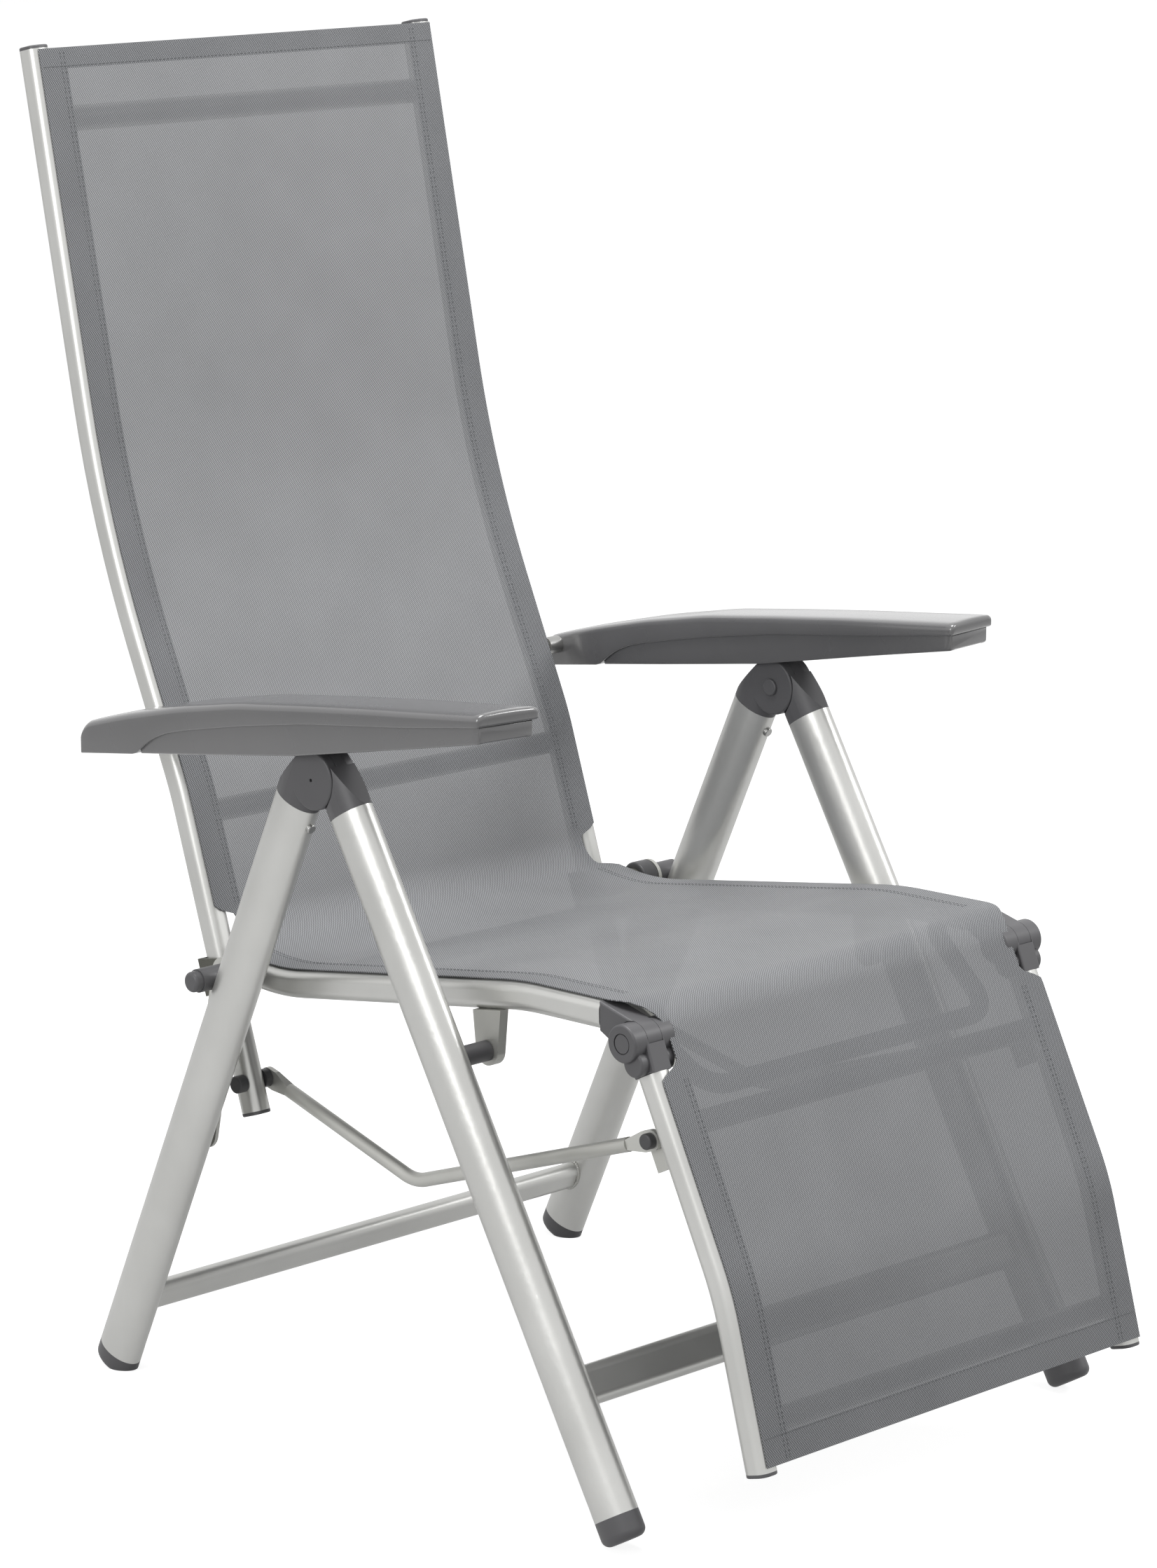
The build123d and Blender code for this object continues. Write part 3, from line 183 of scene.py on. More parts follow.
seat_middle = (0.0, 0.0, 0.5)
soft_lamp("front lamp", (1.9, -2.4, 2.6), seat_middle, 1.0, 34.0)
soft_lamp("top lamp", (-0.2, -0.1, 3.2), seat_middle, 1.6, 66.0)
soft_lamp("side lamp", (-3.1, 0.1, 1.5), seat_middle, 1.2, 25.0)

# %% [markdown]
# ## Finishes of the metal
# The tubes are powder coated in satin silver. Fine flakes in the paint make it sparkle a
# little, which a very small noise gives as a bump, and a broad noise shifts the tone by a
# few percent, as sprayed coats do. The noises read Object coordinates, so the grain stays
# on the tube when the chair moves.

# %% A painted or plated finish
roughness_drift = 0.05
coat_roughness, coat_ior = 0.18, 1.7
broad_scale, broad_detail = 9.0, 4.0
grain_detail, grain_strength = 2.0, 0.6


def noise(tree, place, scale, detail):
    """A soft noise from 0 to 1."""
    node = add_node(tree, "ShaderNodeTexNoise")
    node.inputs["Scale"].default_value = scale
    node.inputs["Detail"].default_value = detail
    tree.links.new(place, node.inputs["Vector"])
    return node.outputs["Fac"]


def ramp(tree, value, stops):
    """The colour at a value, between (position, colour) stops."""
    node = add_node(tree, "ShaderNodeValToRGB")
    elements = node.color_ramp.elements
    for _ in stops[2:]:
        elements.new(0.5)
    for element, (position, colour) in zip(elements, stops):
        element.position = position
        element.color = (*colour, 1.0)
    tree.links.new(value, node.inputs["Fac"])
    return node.outputs["Color"]


def add_bump(tree, shader, height, strength, distance):
    """Let a height from 0 to 1 stand out of the surface."""
    bump = add_node(tree, "ShaderNodeBump")
    bump.inputs["Strength"].default_value = strength
    bump.inputs["Distance"].default_value = distance
    tree.links.new(height, bump.inputs["Height"])
    tree.links.new(bump.outputs["Normal"], shader.inputs["Normal"])


def grained(name, tones, metallic, roughness, grain, grain_height, coat=0.0):
    """A finish whose tone drifts between two colours, with a fine grain."""
    material = bpy.data.materials.new(name)
    material.use_nodes = True
    tree = material.node_tree
    shader = tree.nodes["Principled BSDF"]
    shader.inputs["Metallic"].default_value = metallic
    shader.inputs["Coat Weight"].default_value = coat
    shader.inputs["Coat Roughness"].default_value = coat_roughness
    shader.inputs["Coat IOR"].default_value = coat_ior
    place = add_node(tree, "ShaderNodeTexCoord").outputs["Object"]
    broad = noise(tree, place, broad_scale, broad_detail)
    tone = ramp(tree, broad, ((0.35, tones[0]), (0.65, tones[1])))
    rough = map_range(tree, broad, (roughness - roughness_drift, roughness + roughness_drift))
    tree.links.new(tone, shader.inputs["Base Color"])
    tree.links.new(rough, shader.inputs["Roughness"])
    fine = noise(tree, place, grain, grain_detail)
    add_bump(tree, shader, fine, grain_strength, grain_height)
    return material


# %% [markdown]
# The frame's metals differ in tone, in how much they mirror and in their grain.

# %% Metals
silver = grained("satin silver", [(0.60, 0.60, 0.58), (0.66, 0.66, 0.64)],
                 0.70, 0.34, 1400.0, 0.00004)
silver_flat = grained("silver paint", [(0.53, 0.53, 0.50), (0.60, 0.60, 0.57)],
                      0.6, 0.42, 1400.0, 0.00004)
olive = grained("olive bracket", [(0.085, 0.085, 0.070), (0.11, 0.11, 0.09)],
                0.2, 0.45, 900.0, 0.00004)
plated = grained("plated steel", [(0.36, 0.36, 0.35), (0.45, 0.45, 0.44)],
                 1.0, 0.32, 1800.0, 0.00002)
weld = grained("painted weld", [(0.50, 0.50, 0.47), (0.60, 0.60, 0.57)],
               0.6, 0.38, 700.0, 0.0001)
print("metal finishes", silver.name, silver_flat.name, olive.name, plated.name, weld.name)

# %% [markdown]
# ## Finishes of the plastic
# Heads, feet and knuckles are glass-filled nylon, moulded in a mid grey with a fine spark
# texture. The armrests are smoother, with a light satin sheen that shows white at a
# glancing angle.

# %% Plastics
moulded = grained("moulded plastic", [(0.100, 0.099, 0.104), (0.114, 0.113, 0.118)],
                  0.0, 0.42, 1600.0, 0.00005)
satin = grained("armrest plastic", [(0.100, 0.099, 0.102), (0.113, 0.112, 0.115)],
                0.0, 0.28, 1900.0, 0.00003, coat=1.0)
dark_cap = grained("pin plastic", [(0.060, 0.060, 0.063), (0.075, 0.075, 0.078)],
                   0.0, 0.42, 1500.0, 0.00004)
print("plastic finishes", moulded.name, satin.name, dark_cap.name)

# %% [markdown]
# ## Give every part its finish
# The record names a material slot for each part. A few small parts differ from their slot
# in the picture, such as the dark caps on the pins, so they are named one by one.

# %% Finish the parts
finish_of_slot = {"silver_tube": silver, "painted_steel": silver_flat, "dark_steel": olive,
                  "hardware_steel": plated, "grey_plastic": moulded, "arm_plastic": satin,
                  "sling_fabric": moulded}
finish_of_node = {"tail_pins": dark_cap, "rod_front_pins": dark_cap, "pivot_bushes": dark_cap,
                  "knee_pins": moulded, "hub_pins": moulded, "hanger_rivets": silver_flat}
slot_of_node = {part["node"]: part["material_slot"] for part in frame["record"]["subparts"]}
for node_name, node in frame["nodes"].items():
    finish = finish_of_node.get(node_name, finish_of_slot[slot_of_node[node_name]])
    node.data.materials.clear()
    node.data.materials.append(finish)
print("finished", len(slot_of_node), "parts")

# %% [markdown]
# ## The line of the sling
# Seen from the side, the mesh runs down the front of the back, over the seat, round the
# knees and down the leg rest. It lies just above the rails that hold it, so its line is the
# rails' own corners moved out by half a rail and rounded where the fabric bends. Lengths
# are in metres, and a place in the side view is a (y, z) pair.

# %% Corners of the rails
rail_half_depth = 0.012
fabric_lift = rail_half_depth + 0.0013
lumbar_lean, back_lean, top_lean = 18.3, 24.3, 11.9


def lean(start, degrees, height):
    """The point on a line that leans back by an angle, at another height."""
    return (start[0] + (height - start[1]) * math.tan(math.radians(degrees)), height)


pivot = (0.161612, 0.372)
knee = (-0.298187, 0.400)
back_foot = (pivot[0] + 0.0425, pivot[1])
back_low = lean(back_foot, lumbar_lean, 0.5124)
back_high = lean(back_low, back_lean, 0.7265)
back_top = lean(back_high, top_lean, 1.125)
seat_rear = (pivot[0] + 0.0132, 0.3715)
seat_dip = (pivot[0] - 0.0368, 0.366)
seat_rise = (knee[0] + 0.128, 0.4115)
seat_front = (knee[0] + 0.037, 0.4135)
rest_top = (knee[0] - 0.0135, 0.3745)
rest_bend = (knee[0] - 0.095, 0.212)
rest_end = (knee[0] - 0.1325, 0.078)
print("the back's rails end at", [round(v, 3) for v in back_top])

# %% [markdown]
# Each straight run is moved outwards, and neighbouring runs are crossed to find the new
# corners. An arc is then set into each corner, and the line is sampled every millimetre.
# Every sample keeps its distance along the cloth, because the weave, the hems and the
# stitches are all placed by that distance.


# %% Move runs out and cross them
def moved_out(start, end):
    """A run of the rails moved to where the fabric lies, towards the sitter."""
    ahead = (np.array(end) - np.array(start)) / np.hypot(end[0] - start[0], end[1] - start[1])
    out = np.array((ahead[1], -ahead[0]))
    return np.array(start) + out * fabric_lift, np.array(end) + out * fabric_lift


def crossed(first, second):
    """The point where two runs meet when both are drawn on."""
    (a, b), (c, d) = first, second
    system = np.column_stack((b - a, c - d))
    return a + (b - a) * np.linalg.solve(system, c - a)[0]


back_runs = [(back_top, back_high), (back_high, back_low), (back_low, back_foot)]
seat_runs = [(seat_rear, seat_dip), (seat_dip, seat_rise), (seat_rise, seat_front)]
rest_runs = [(rest_top, rest_bend), (rest_bend, rest_end)]
runs = [moved_out(start, end) for start, end in back_runs + seat_runs + rest_runs]
cloth_corners = [runs[0][0]] + [crossed(a, b) for a, b in zip(runs, runs[1:])] + [runs[-1][1]]
cloth_radii = [0.96, 0.307, 0.040, 0.207, 0.343, 0.036, 0.250]
end_gap = 0.004
last_run = cloth_corners[-2] - cloth_corners[-1]
cloth_corners[-1] = cloth_corners[-1] + last_run * end_gap / np.linalg.norm(last_run)
print("the cloth turns at", len(cloth_radii), "corners")

# %% Round the corners
arc_points = 25
sample_length = 0.001
slope_reach = 0.002


def rounded(corners, radii):
    """Points along straight runs joined by arcs."""
    line = [corners[0]]
    for before, corner, after, radius in zip(corners, corners[1:], corners[2:], radii):
        into = (corner - before) / np.linalg.norm(corner - before)
        out = (after - corner) / np.linalg.norm(after - corner)
        turn = math.acos(float(np.clip(into @ out, -1, 1)))
        side = math.copysign(1, into[0] * out[1] - into[1] * out[0])
        start = corner - into * radius * math.tan(turn / 2)
        centre = start + side * radius * np.array((-into[1], into[0]))
        u, v = start - centre
        for angle in side * turn * np.linspace(0, 1, arc_points):
            cos, sin = math.cos(angle), math.sin(angle)
            line.append(centre + np.array((u * cos - v * sin, u * sin + v * cos)))
    return np.array(line + [corners[-1]])


corner_line = rounded(cloth_corners, cloth_radii)
corner_steps = np.linalg.norm(np.diff(corner_line, axis=0), axis=1)
corner_run = np.concatenate(([0], np.cumsum(corner_steps)))
cloth_length = float(corner_run[-1])
cloth_run = np.linspace(0, cloth_length, round(cloth_length / sample_length) + 1)
cloth_line = np.column_stack([np.interp(cloth_run, corner_run, corner_line[:, i])
                              for i in (0, 1)])
print("the mesh is", round(cloth_length, 3), "m long")

# %% [markdown]
# Two questions are asked of the line again and again: where is a given distance along the
# cloth, and which distance is nearest to a given place.


# %% Places on the line
def on_line(run):
    """The side-view place of the cloth at a distance along it."""
    return np.array([np.interp(run, cloth_run, cloth_line[:, i]) for i in (0, 1)])


def cloth_at(run):
    """The side-view place and outward direction of the cloth at a distance along it."""
    ahead = on_line(run + slope_reach) - on_line(run - slope_reach)
    ahead = ahead / np.linalg.norm(ahead)
    return (*on_line(run), ahead[1], -ahead[0])


def run_nearest(place):
    """The distance along the cloth that is nearest to a side-view place."""
    away = np.linalg.norm(cloth_line - np.array(place), axis=1)
    return float(cloth_run[np.argmin(away)])


print("the knee's axis is nearest to", round(run_nearest(knee), 3), "m along the cloth")

# %% [markdown]
# ## Width and sag
# The cloth is cut away at the edges beside the lumbar pivots and at the knees, where the
# joints need room. Between the rails it sinks a little, most in the middle of the seat and
# hardly at all where a bar lies close behind it.

# %% The cut edge
cloth_half = 0.2255
hem_width, top_hem, bottom_hem = 0.028, 0.018, 0.024
lumbar_low = run_nearest((pivot[0] + 0.012, 0.3865))
lumbar_high = run_nearest((pivot[0] + 0.043, 0.418))
lumbar_cut, lumbar_ease = 0.020, 0.010
knee_rear = run_nearest((knee[0] + 0.034, knee[1] + 0.0262))
knee_low = run_nearest((knee[0] - 0.029, knee[1] - 0.028))
knee_cut, knee_ease_rear, knee_ease_low = 0.0215, 0.056, 0.014


def ease(value, start, end):
    """0 before start and 1 after end, smooth between them."""
    share = np.clip((value - start) / (end - start), 0, 1)
    return share * share * (3 - 2 * share)


def half_width(run):
    """From the middle of the cloth to its edge."""
    lumbar = (ease(run, lumbar_high, lumbar_high + lumbar_ease)
              * (1 - ease(run, lumbar_low - lumbar_ease, lumbar_low)))
    at_knee = (ease(run, knee_rear, knee_rear + knee_ease_rear)
               * (1 - ease(run, knee_low - knee_ease_low, knee_low)))
    return cloth_half - lumbar_cut * lumbar - knee_cut * at_knee


# %% The sag between the rails
sag_stations = [((0.405, 1.067), 0.0005), ((0.30, 0.76), 0.0045), ((0.22, 0.49), 0.0010),
                ((0.17, 0.40), 0.0004), ((0.10, 0.385), 0.0016), ((-0.08, 0.41), 0.0050),
                ((-0.26, 0.426), 0.0030), ((-0.32, 0.39), 0.0025), ((-0.335, 0.3334), 0.0012),
                ((-0.39, 0.23), 0.0030), ((-0.43, 0.112), 0.0010)]
sag_places = [0.0] + [run_nearest(place) for place, depth in sag_stations] + [cloth_length]
sag_depths = [0.0002] + [depth for place, depth in sag_stations] + [0.0004]
sag_half, sag_power = 0.207, 1.2


def sag(x, run):
    """How far the cloth sinks below the rails at a place on it."""
    depth = np.interp(run, sag_places, sag_depths)
    return depth * max(0.0, 1 - (x / sag_half) ** 2) ** sag_power


knee_edge = half_width((knee_rear + knee_low) / 2)
print("cut edge at the knee", round(float(knee_edge), 4), "m from the middle")

# %% [markdown]
# ## The mesh cloth
# Coated yarns are woven in a staggered open weave. Close up it is rows of pale beads with
# dark gaps. Between a fiftieth and a tenth of it is holes, so the white behind lightens it
# and every bar behind it shows as a darker band. Two crossed waves on the UV map give the
# beads. The holes are too small to see one by one, so an even alpha stands for them. The UV
# map holds real metres, so beads are the same size everywhere. A weave hides its own holes
# where one looks along it, as on the seat, so the alpha is highest there.

# %% The weave
bead_pitch = {"X": 0.0021, "Y": 0.0027}
bead_low, bead_high = -0.7, 0.9
cloth_dark, cloth_light = (0.052, 0.054, 0.058), (0.345, 0.352, 0.368)
drift_scale, drift_detail, drift_size = 14.0, 5.0, 0.10
gap_roughness, bead_roughness = 0.64, 0.48
bead_strength, bead_height = 0.5, 0.0003


def beads_on(tree, split):
    """Two waves, across and along the cloth, multiplied into rows of beads."""
    waves = []
    for axis, pitch in bead_pitch.items():
        angle = math_node(tree, "MULTIPLY", split.outputs[axis], 2 * math.pi / pitch)
        waves.append(math_node(tree, "COSINE", angle))
    return map_range(tree, math_node(tree, "MULTIPLY", *waves), (0.0, 1.0), (bead_low, bead_high))


def woven(name, closed_along=()):
    """The cloth; closed_along are (place from 0 to 1 along it, share without holes)."""
    material = bpy.data.materials.new(name)
    material.use_nodes = True
    tree = material.node_tree
    shader = tree.nodes["Principled BSDF"]
    shader.inputs["Sheen Weight"].default_value = 0.15
    uv = add_node(tree, "ShaderNodeUVMap", uv_map="cloth").outputs["UV"]
    split = add_node(tree, "ShaderNodeSeparateXYZ")
    tree.links.new(uv, split.inputs[0])
    beads = beads_on(tree, split)
    drift = map_range(tree, noise(tree, uv, drift_scale, drift_detail), (-drift_size, drift_size))
    total = math_node(tree, "ADD", beads, drift)
    tone = ramp(tree, total, ((0.1, cloth_dark), (0.95, cloth_light)))
    tree.links.new(tone, shader.inputs["Base Color"])
    rough = map_range(tree, beads, (gap_roughness, bead_roughness))
    tree.links.new(rough, shader.inputs["Roughness"])
    if closed_along:
        along = map_range(tree, split.outputs["Y"], (0.0, 1.0), (0.0, -cloth_length))
        closed = ramp(tree, along, [(place, (share,) * 3) for place, share in closed_along])
        tree.links.new(closed, shader.inputs["Alpha"])
    add_bump(tree, shader, beads, bead_strength, bead_height)
    return material


# %% [markdown]
# The open cloth gets its share without holes at some places from the top (0) to the foot
# (1). The hems are the same weave with no holes, and the thread is a darker grain.

# %% Cloth and thread
mesh_closed = [(0.0, 0.91), (0.40, 0.92), (0.48, 0.965), (0.58, 0.98), (0.68, 0.975),
               (0.76, 0.97), (1.0, 0.965)]
mesh_cloth = woven("mesh cloth", mesh_closed)
hem_cloth = woven("hem cloth")
thread = grained("thread", [(0.10, 0.105, 0.11), (0.14, 0.145, 0.15)], 0.0, 0.6, 3000.0, 0.00002)
print("cloth finishes", mesh_cloth.name, hem_cloth.name, thread.name)

# %% [markdown]
# ## Laying out the cloth
# The cloth is a grid. Its columns stand close together in the side hems and wider apart in
# the middle, and its rows follow the line found above. One function lays any part of that
# grid at any height over the rails, so the hem, which is a second layer folded to the rear,
# uses the same rows and columns and fits it exactly.

# %% Columns and rows
hem_columns, middle_columns = 7, 31
narrowest_hem = 0.004
row_spacing = 0.0045


def columns_at(run):
    """The places across the cloth at one distance along it."""
    edge = half_width(run)
    fold = min(cloth_half - hem_width, edge - narrowest_hem)
    hem = np.linspace(edge, fold, hem_columns)
    middle = np.linspace(fold, -fold, middle_columns)[1:-1]
    return np.concatenate((hem, middle, -hem[::-1]))


def cloth_point(x, run, height):
    """A point on the cloth, raised towards the sitter by height."""
    y, z, out_y, out_z = cloth_at(run)
    away = height - sag(x, run)
    return (x, y + out_y * away, z + out_z * away)


def rows_between(start, end):
    """Even distances along the cloth, from start to end."""
    return np.linspace(start, end, max(2, round((end - start) / row_spacing) + 1))


# %% Lay a grid
def lay(name, rows, height, material, wanted=None):
    """A sheet over some rows; wanted picks the cells by column and distance."""
    points, cells, spots = [], [], []
    across = len(columns_at(rows[0]))
    for run in rows:
        for x in columns_at(run):
            points.append(cloth_point(x, run, height))
            spots.append((x, -run))
    for row in range(len(rows) - 1):
        middle = (rows[row] + rows[row + 1]) / 2
        for column in range(across - 1):
            if wanted is None or wanted(column, middle):
                corner = row * across + column
                cells.append((corner, corner + 1, corner + across + 1, corner + across))
    mesh = bpy.data.meshes.new(name)
    mesh.from_pydata(points, [], cells)
    uv = mesh.uv_layers.new(name="cloth")
    for loop in mesh.loops:
        uv.data[loop.index].uv = spots[loop.vertex_index]
    mesh.materials.append(material)
    sheet = bpy.data.objects.new(name, mesh)
    bpy.context.scene.collection.objects.link(sheet)
    return sheet


def tidy(piece):
    """Drop loose points and shade the faces smooth."""
    shape = bmesh.new()
    shape.from_mesh(piece.data)
    loose = [v for v in shape.verts if not v.link_faces]
    bmesh.ops.delete(shape, geom=loose, context="VERTS")
    shape.to_mesh(piece.data)
    shape.free()
    piece.data.polygons.foreach_set("use_smooth", [True] * len(piece.data.polygons))
    print(piece.name, len(piece.data.polygons), "faces")


# %% [markdown]
# ## The cloth in two stretches
# The upper stretch spans the place where the back reclines, and the lower one the place where
# the leg rest rises. They meet in the middle of the seat, which never bends.

# %% Lay both stretches
cloth_height = 0.0004
seat_meeting = run_nearest((-0.06, 0.405))
upper_rows = rows_between(0.0, seat_meeting)
lower_rows = rows_between(seat_meeting, cloth_length)
cloth_upper = lay("sling_upper", upper_rows, cloth_height, mesh_cloth)
cloth_lower = lay("sling_lower", lower_rows, cloth_height, mesh_cloth)
for piece in (cloth_upper, cloth_lower):
    tidy(piece)

# %% [markdown]
# ## Hems
# The edges are folded to the rear and stitched, so they are two layers thick. Light no
# longer passes through them, and they read as a darker border. The hem is the grid's
# outer cells again, given a thickness.

# %% The folded hems
hem_height, hem_thickness = 0.0003, 0.0009
side_cells = hem_columns - 1
total_cells = len(columns_at(0.0)) - 1


def in_hem(column, run):
    """True for the cells of the side, top and bottom hems."""
    side = column < side_cells or column >= total_cells - side_cells
    return side or run < top_hem or run > cloth_length - bottom_hem


def applied(piece, modifier):
    """Keep what a modifier makes of a piece as its plain mesh."""
    graph = bpy.context.evaluated_depsgraph_get()
    made = bpy.data.meshes.new_from_object(piece.evaluated_get(graph))
    piece.modifiers.remove(modifier)
    piece.data = made
    return piece


def thickened(sheet):
    """Give a sheet a real thickness, towards the rails."""
    solid = sheet.modifiers.new("thickness", "SOLIDIFY")
    solid.thickness = hem_thickness
    solid.offset = -1
    return applied(sheet, solid)


hem_upper = thickened(lay("hem_upper", upper_rows, hem_height, hem_cloth, in_hem))
hem_lower = thickened(lay("hem_lower", lower_rows, hem_height, hem_cloth, in_hem))
for piece in (hem_upper, hem_lower):
    tidy(piece)

# %% [markdown]
# ## Things that repeat along a line
# Stitches and weld beads are both one small lump set again and again along a line. A
# Geometry Nodes tree does that for any line: it turns the line into points at an even
# pitch, puts a small ball on each, and stretches it along the line or across it.


# %% The repeating tree
def repeat_tree(name, material):
    """A tree that turns a line into lumps, with the lumps' pitch and sizes as inputs."""
    tree = bpy.data.node_groups.new(name, "GeometryNodeTree")
    sockets = tree.interface
    sockets.new_socket("Geometry", in_out="INPUT", socket_type="NodeSocketGeometry")
    for label in ("Pitch", "Length", "Width", "Height"):
        sockets.new_socket(label, in_out="INPUT", socket_type="NodeSocketFloat")
    sockets.new_socket("Geometry", in_out="OUTPUT", socket_type="NodeSocketGeometry")
    given = add_node(tree, "NodeGroupInput").outputs
    curve = add_node(tree, "GeometryNodeMeshToCurve")
    spots = add_node(tree, "GeometryNodeCurveToPoints", mode="LENGTH")
    ball = add_node(tree, "GeometryNodeMeshIcoSphere")
    ball.inputs["Radius"].default_value = 0.5
    ball.inputs["Subdivisions"].default_value = 2
    size = add_node(tree, "ShaderNodeCombineXYZ")
    place = add_node(tree, "GeometryNodeInstanceOnPoints")
    real = add_node(tree, "GeometryNodeRealizeInstances")
    smooth = add_node(tree, "GeometryNodeSetShadeSmooth")
    paint = add_node(tree, "GeometryNodeSetMaterial")
    paint.inputs["Material"].default_value = material
    result = add_node(tree, "NodeGroupOutput")
    wires = ((given["Geometry"], curve.inputs[0]),
             (curve.outputs[0], spots.inputs[0]),
             (given["Pitch"], spots.inputs["Length"]),
             (given["Height"], size.inputs["X"]),
             (given["Width"], size.inputs["Y"]),
             (given["Length"], size.inputs["Z"]),
             (spots.outputs["Points"], place.inputs["Points"]),
             (spots.outputs["Rotation"], place.inputs["Rotation"]),
             (ball.outputs["Mesh"], place.inputs["Instance"]),
             (size.outputs[0], place.inputs["Scale"]),
             (place.outputs[0], real.inputs[0]),
             (real.outputs[0], smooth.inputs[0]),
             (smooth.outputs[0], paint.inputs[0]),
             (paint.outputs[0], result.inputs[0]))
    for start, end in wires:
        tree.links.new(start, end)
    return tree


# %% Run the tree on some lines
def along_lines(name, tree, lines, closed, **sizes):
    """Repeat along lines of points, and keep the result as a plain mesh."""
    points, edges = [], []
    for line in lines:
        first = len(points)
        points += line
        edges += [(first + i, first + i + 1) for i in range(len(line) - 1)]
        if closed:
            edges.append((len(points) - 1, first))
    guide = bpy.data.objects.new(name, bpy.data.meshes.new(name + "_line"))
    guide.data.from_pydata(points, edges, [])
    bpy.context.scene.collection.objects.link(guide)
    repeat = guide.modifiers.new("repeat", "NODES")
    repeat.node_group = tree
    for socket in tree.interface.items_tree:
        if socket.in_out == "INPUT" and socket.name in sizes:
            repeat[socket.identifier] = sizes[socket.name]
    applied(guide, repeat)
    print(name, len(guide.data.polygons), "faces")
    return guide


stitch_tree = repeat_tree("stitches", thread)
bead_tree = repeat_tree("weld beads", weld)

# %% [markdown]
# ## Stitches
# Two rows of lockstitch hold each hem, close to its folded edge. Each stitch is a 3 mm
# grain of thread that stands a fraction of a millimetre proud of the cloth.

# %% Rows of stitches
thread_size = {"Pitch": 0.0042, "Length": 0.0031, "Width": 0.0006, "Height": 0.0005}
thread_lift = 0.0005
edge_room = 0.004
stitch_insets = (0.002, 0.006)
cross_inset, cross_points = 0.002, 120


def side_row(rows, inset, side):
    """A line of stitches down one side, along the fold of the hem."""
    x = cloth_half - hem_width + inset
    return [cloth_point(side * x, run, thread_lift) for run in rows
            if half_width(run) > x + edge_room]


def cross_row(run):
    """A line of stitches across the cloth."""
    edge = cloth_half - edge_room
    return [cloth_point(x, run, thread_lift) for x in np.linspace(-edge, edge, cross_points)]


def stitched(name, rows, spans, cross_run):
    """All stitches of one stretch: its sides between some distances, and one row across."""
    lines = []
    for low, high in spans:
        part = [run for run in rows if low <= run <= high]
        lines += [side_row(part, inset, side) for side in (-1, 1) for inset in stitch_insets]
    lines.append(cross_row(cross_run))
    lines = [line for line in lines if len(line) > 1]
    return along_lines(name, stitch_tree, lines, False, **thread_size)


upper_spans = ((edge_room, lumbar_high), (lumbar_low, seat_meeting))
lower_spans = ((seat_meeting, knee_rear), (knee_low, cloth_length - edge_room))
stitches_upper = stitched("stitches_upper", upper_rows, upper_spans, top_hem - cross_inset)
stitches_lower = stitched("stitches_lower", lower_rows, lower_spans,
                          cloth_length - bottom_hem + cross_inset)

# %% [markdown]
# ## The cloth in place of the plain sling
# The pieces of both stretches keep their places in their own meshes, and the plain sling parts
# of the frame are hidden. Between the seat and the back, and round the knees, the cloth is free
# of the rails for a short space.

for piece in (cloth_upper, hem_upper, stitches_upper):
    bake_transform(piece)
for piece in (cloth_lower, hem_lower, stitches_lower):
    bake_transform(piece)
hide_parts("back_sling")
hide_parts("seat_sling", "legrest_sling")
print("flat lengths", round(seat_meeting, 3), "and", round(cloth_length - seat_meeting, 3), "m")

# %% [markdown]
# ## Armrests
# An armrest is two mouldings: a crowned top that also forms the whole rear end, and a
# slimmer base below a curved seam. Both are lofted through upright sections. A section is
# a rounded box whose top, bottom and width are read from smooth curves along the armrest.

# %% Curves along the armrest
arm_middle = 0.272
forward = 0.015187
hub_y, hub_z, hub_radius = 0.014813, 0.567, 0.0253
track_tilt = math.radians(10)


def curve_of(*points, soften=0.012):
    """A smooth height or width along the armrest, from a few (y, value) points in mm."""
    ys = [y / 1000 - forward for y, value in points]
    values = [value / 1000 for y, value in points]

    def at(y):
        return float(np.mean(np.interp(y + np.linspace(-soften, soften, 9), ys, values)))
    return at


arm_top_z = curve_of((-215, 657), (-186, 654.5), (-60, 641.6), (20, 632.4), (105, 621.7),
                     (180, 607.5), (249, 591.1), (283, 581.8), (330, 568))
arm_bottom_z = curve_of((-215, 636.7), (-186, 631), (-60, 606.6), (35.6, 588),
                        (160, 569.8), (307, 549), (320, 547))
arm_seam_z = curve_of((-215, 648.4), (-183, 644), (-91, 631), (20, 617), (96, 604),
                      (136, 596), (172, 588.5), (194, 583), (212, 575.5), (225, 567),
                      (237, 557), (247, 546), (256, 536), soften=0.006)
arm_top_half = curve_of((-215, 30), (60, 29.3), (200, 27.4), (320, 26))
arm_base_half = curve_of((-215, 26.5), (100, 26), (240, 23.5))


def track_z(y):
    """The sliding face under the armrest: a straight line that just clears the hub."""
    top_y = hub_y + hub_radius * math.sin(track_tilt)
    top_z = hub_z + hub_radius * math.cos(track_tilt)
    return top_z - (y - top_y) * math.tan(track_tilt)


print("the armrest slides on the hub", round(track_z(hub_y), 3), "m above the floor")

# %% [markdown]
# A loft needs the same number of points in every section. The corners are quarter rounds
# with a few points each. The base has a shallow channel below, in which the hub runs, so
# its section gets eight more points there.


# %% Sections
def corner(x, z, radius, start, count=5):
    """A quarter round about a centre, from a start angle in degrees, turning left."""
    angles = np.radians(start + np.linspace(0, 90, count))
    return [(x + radius * math.cos(a), z + radius * math.sin(a)) for a in angles]


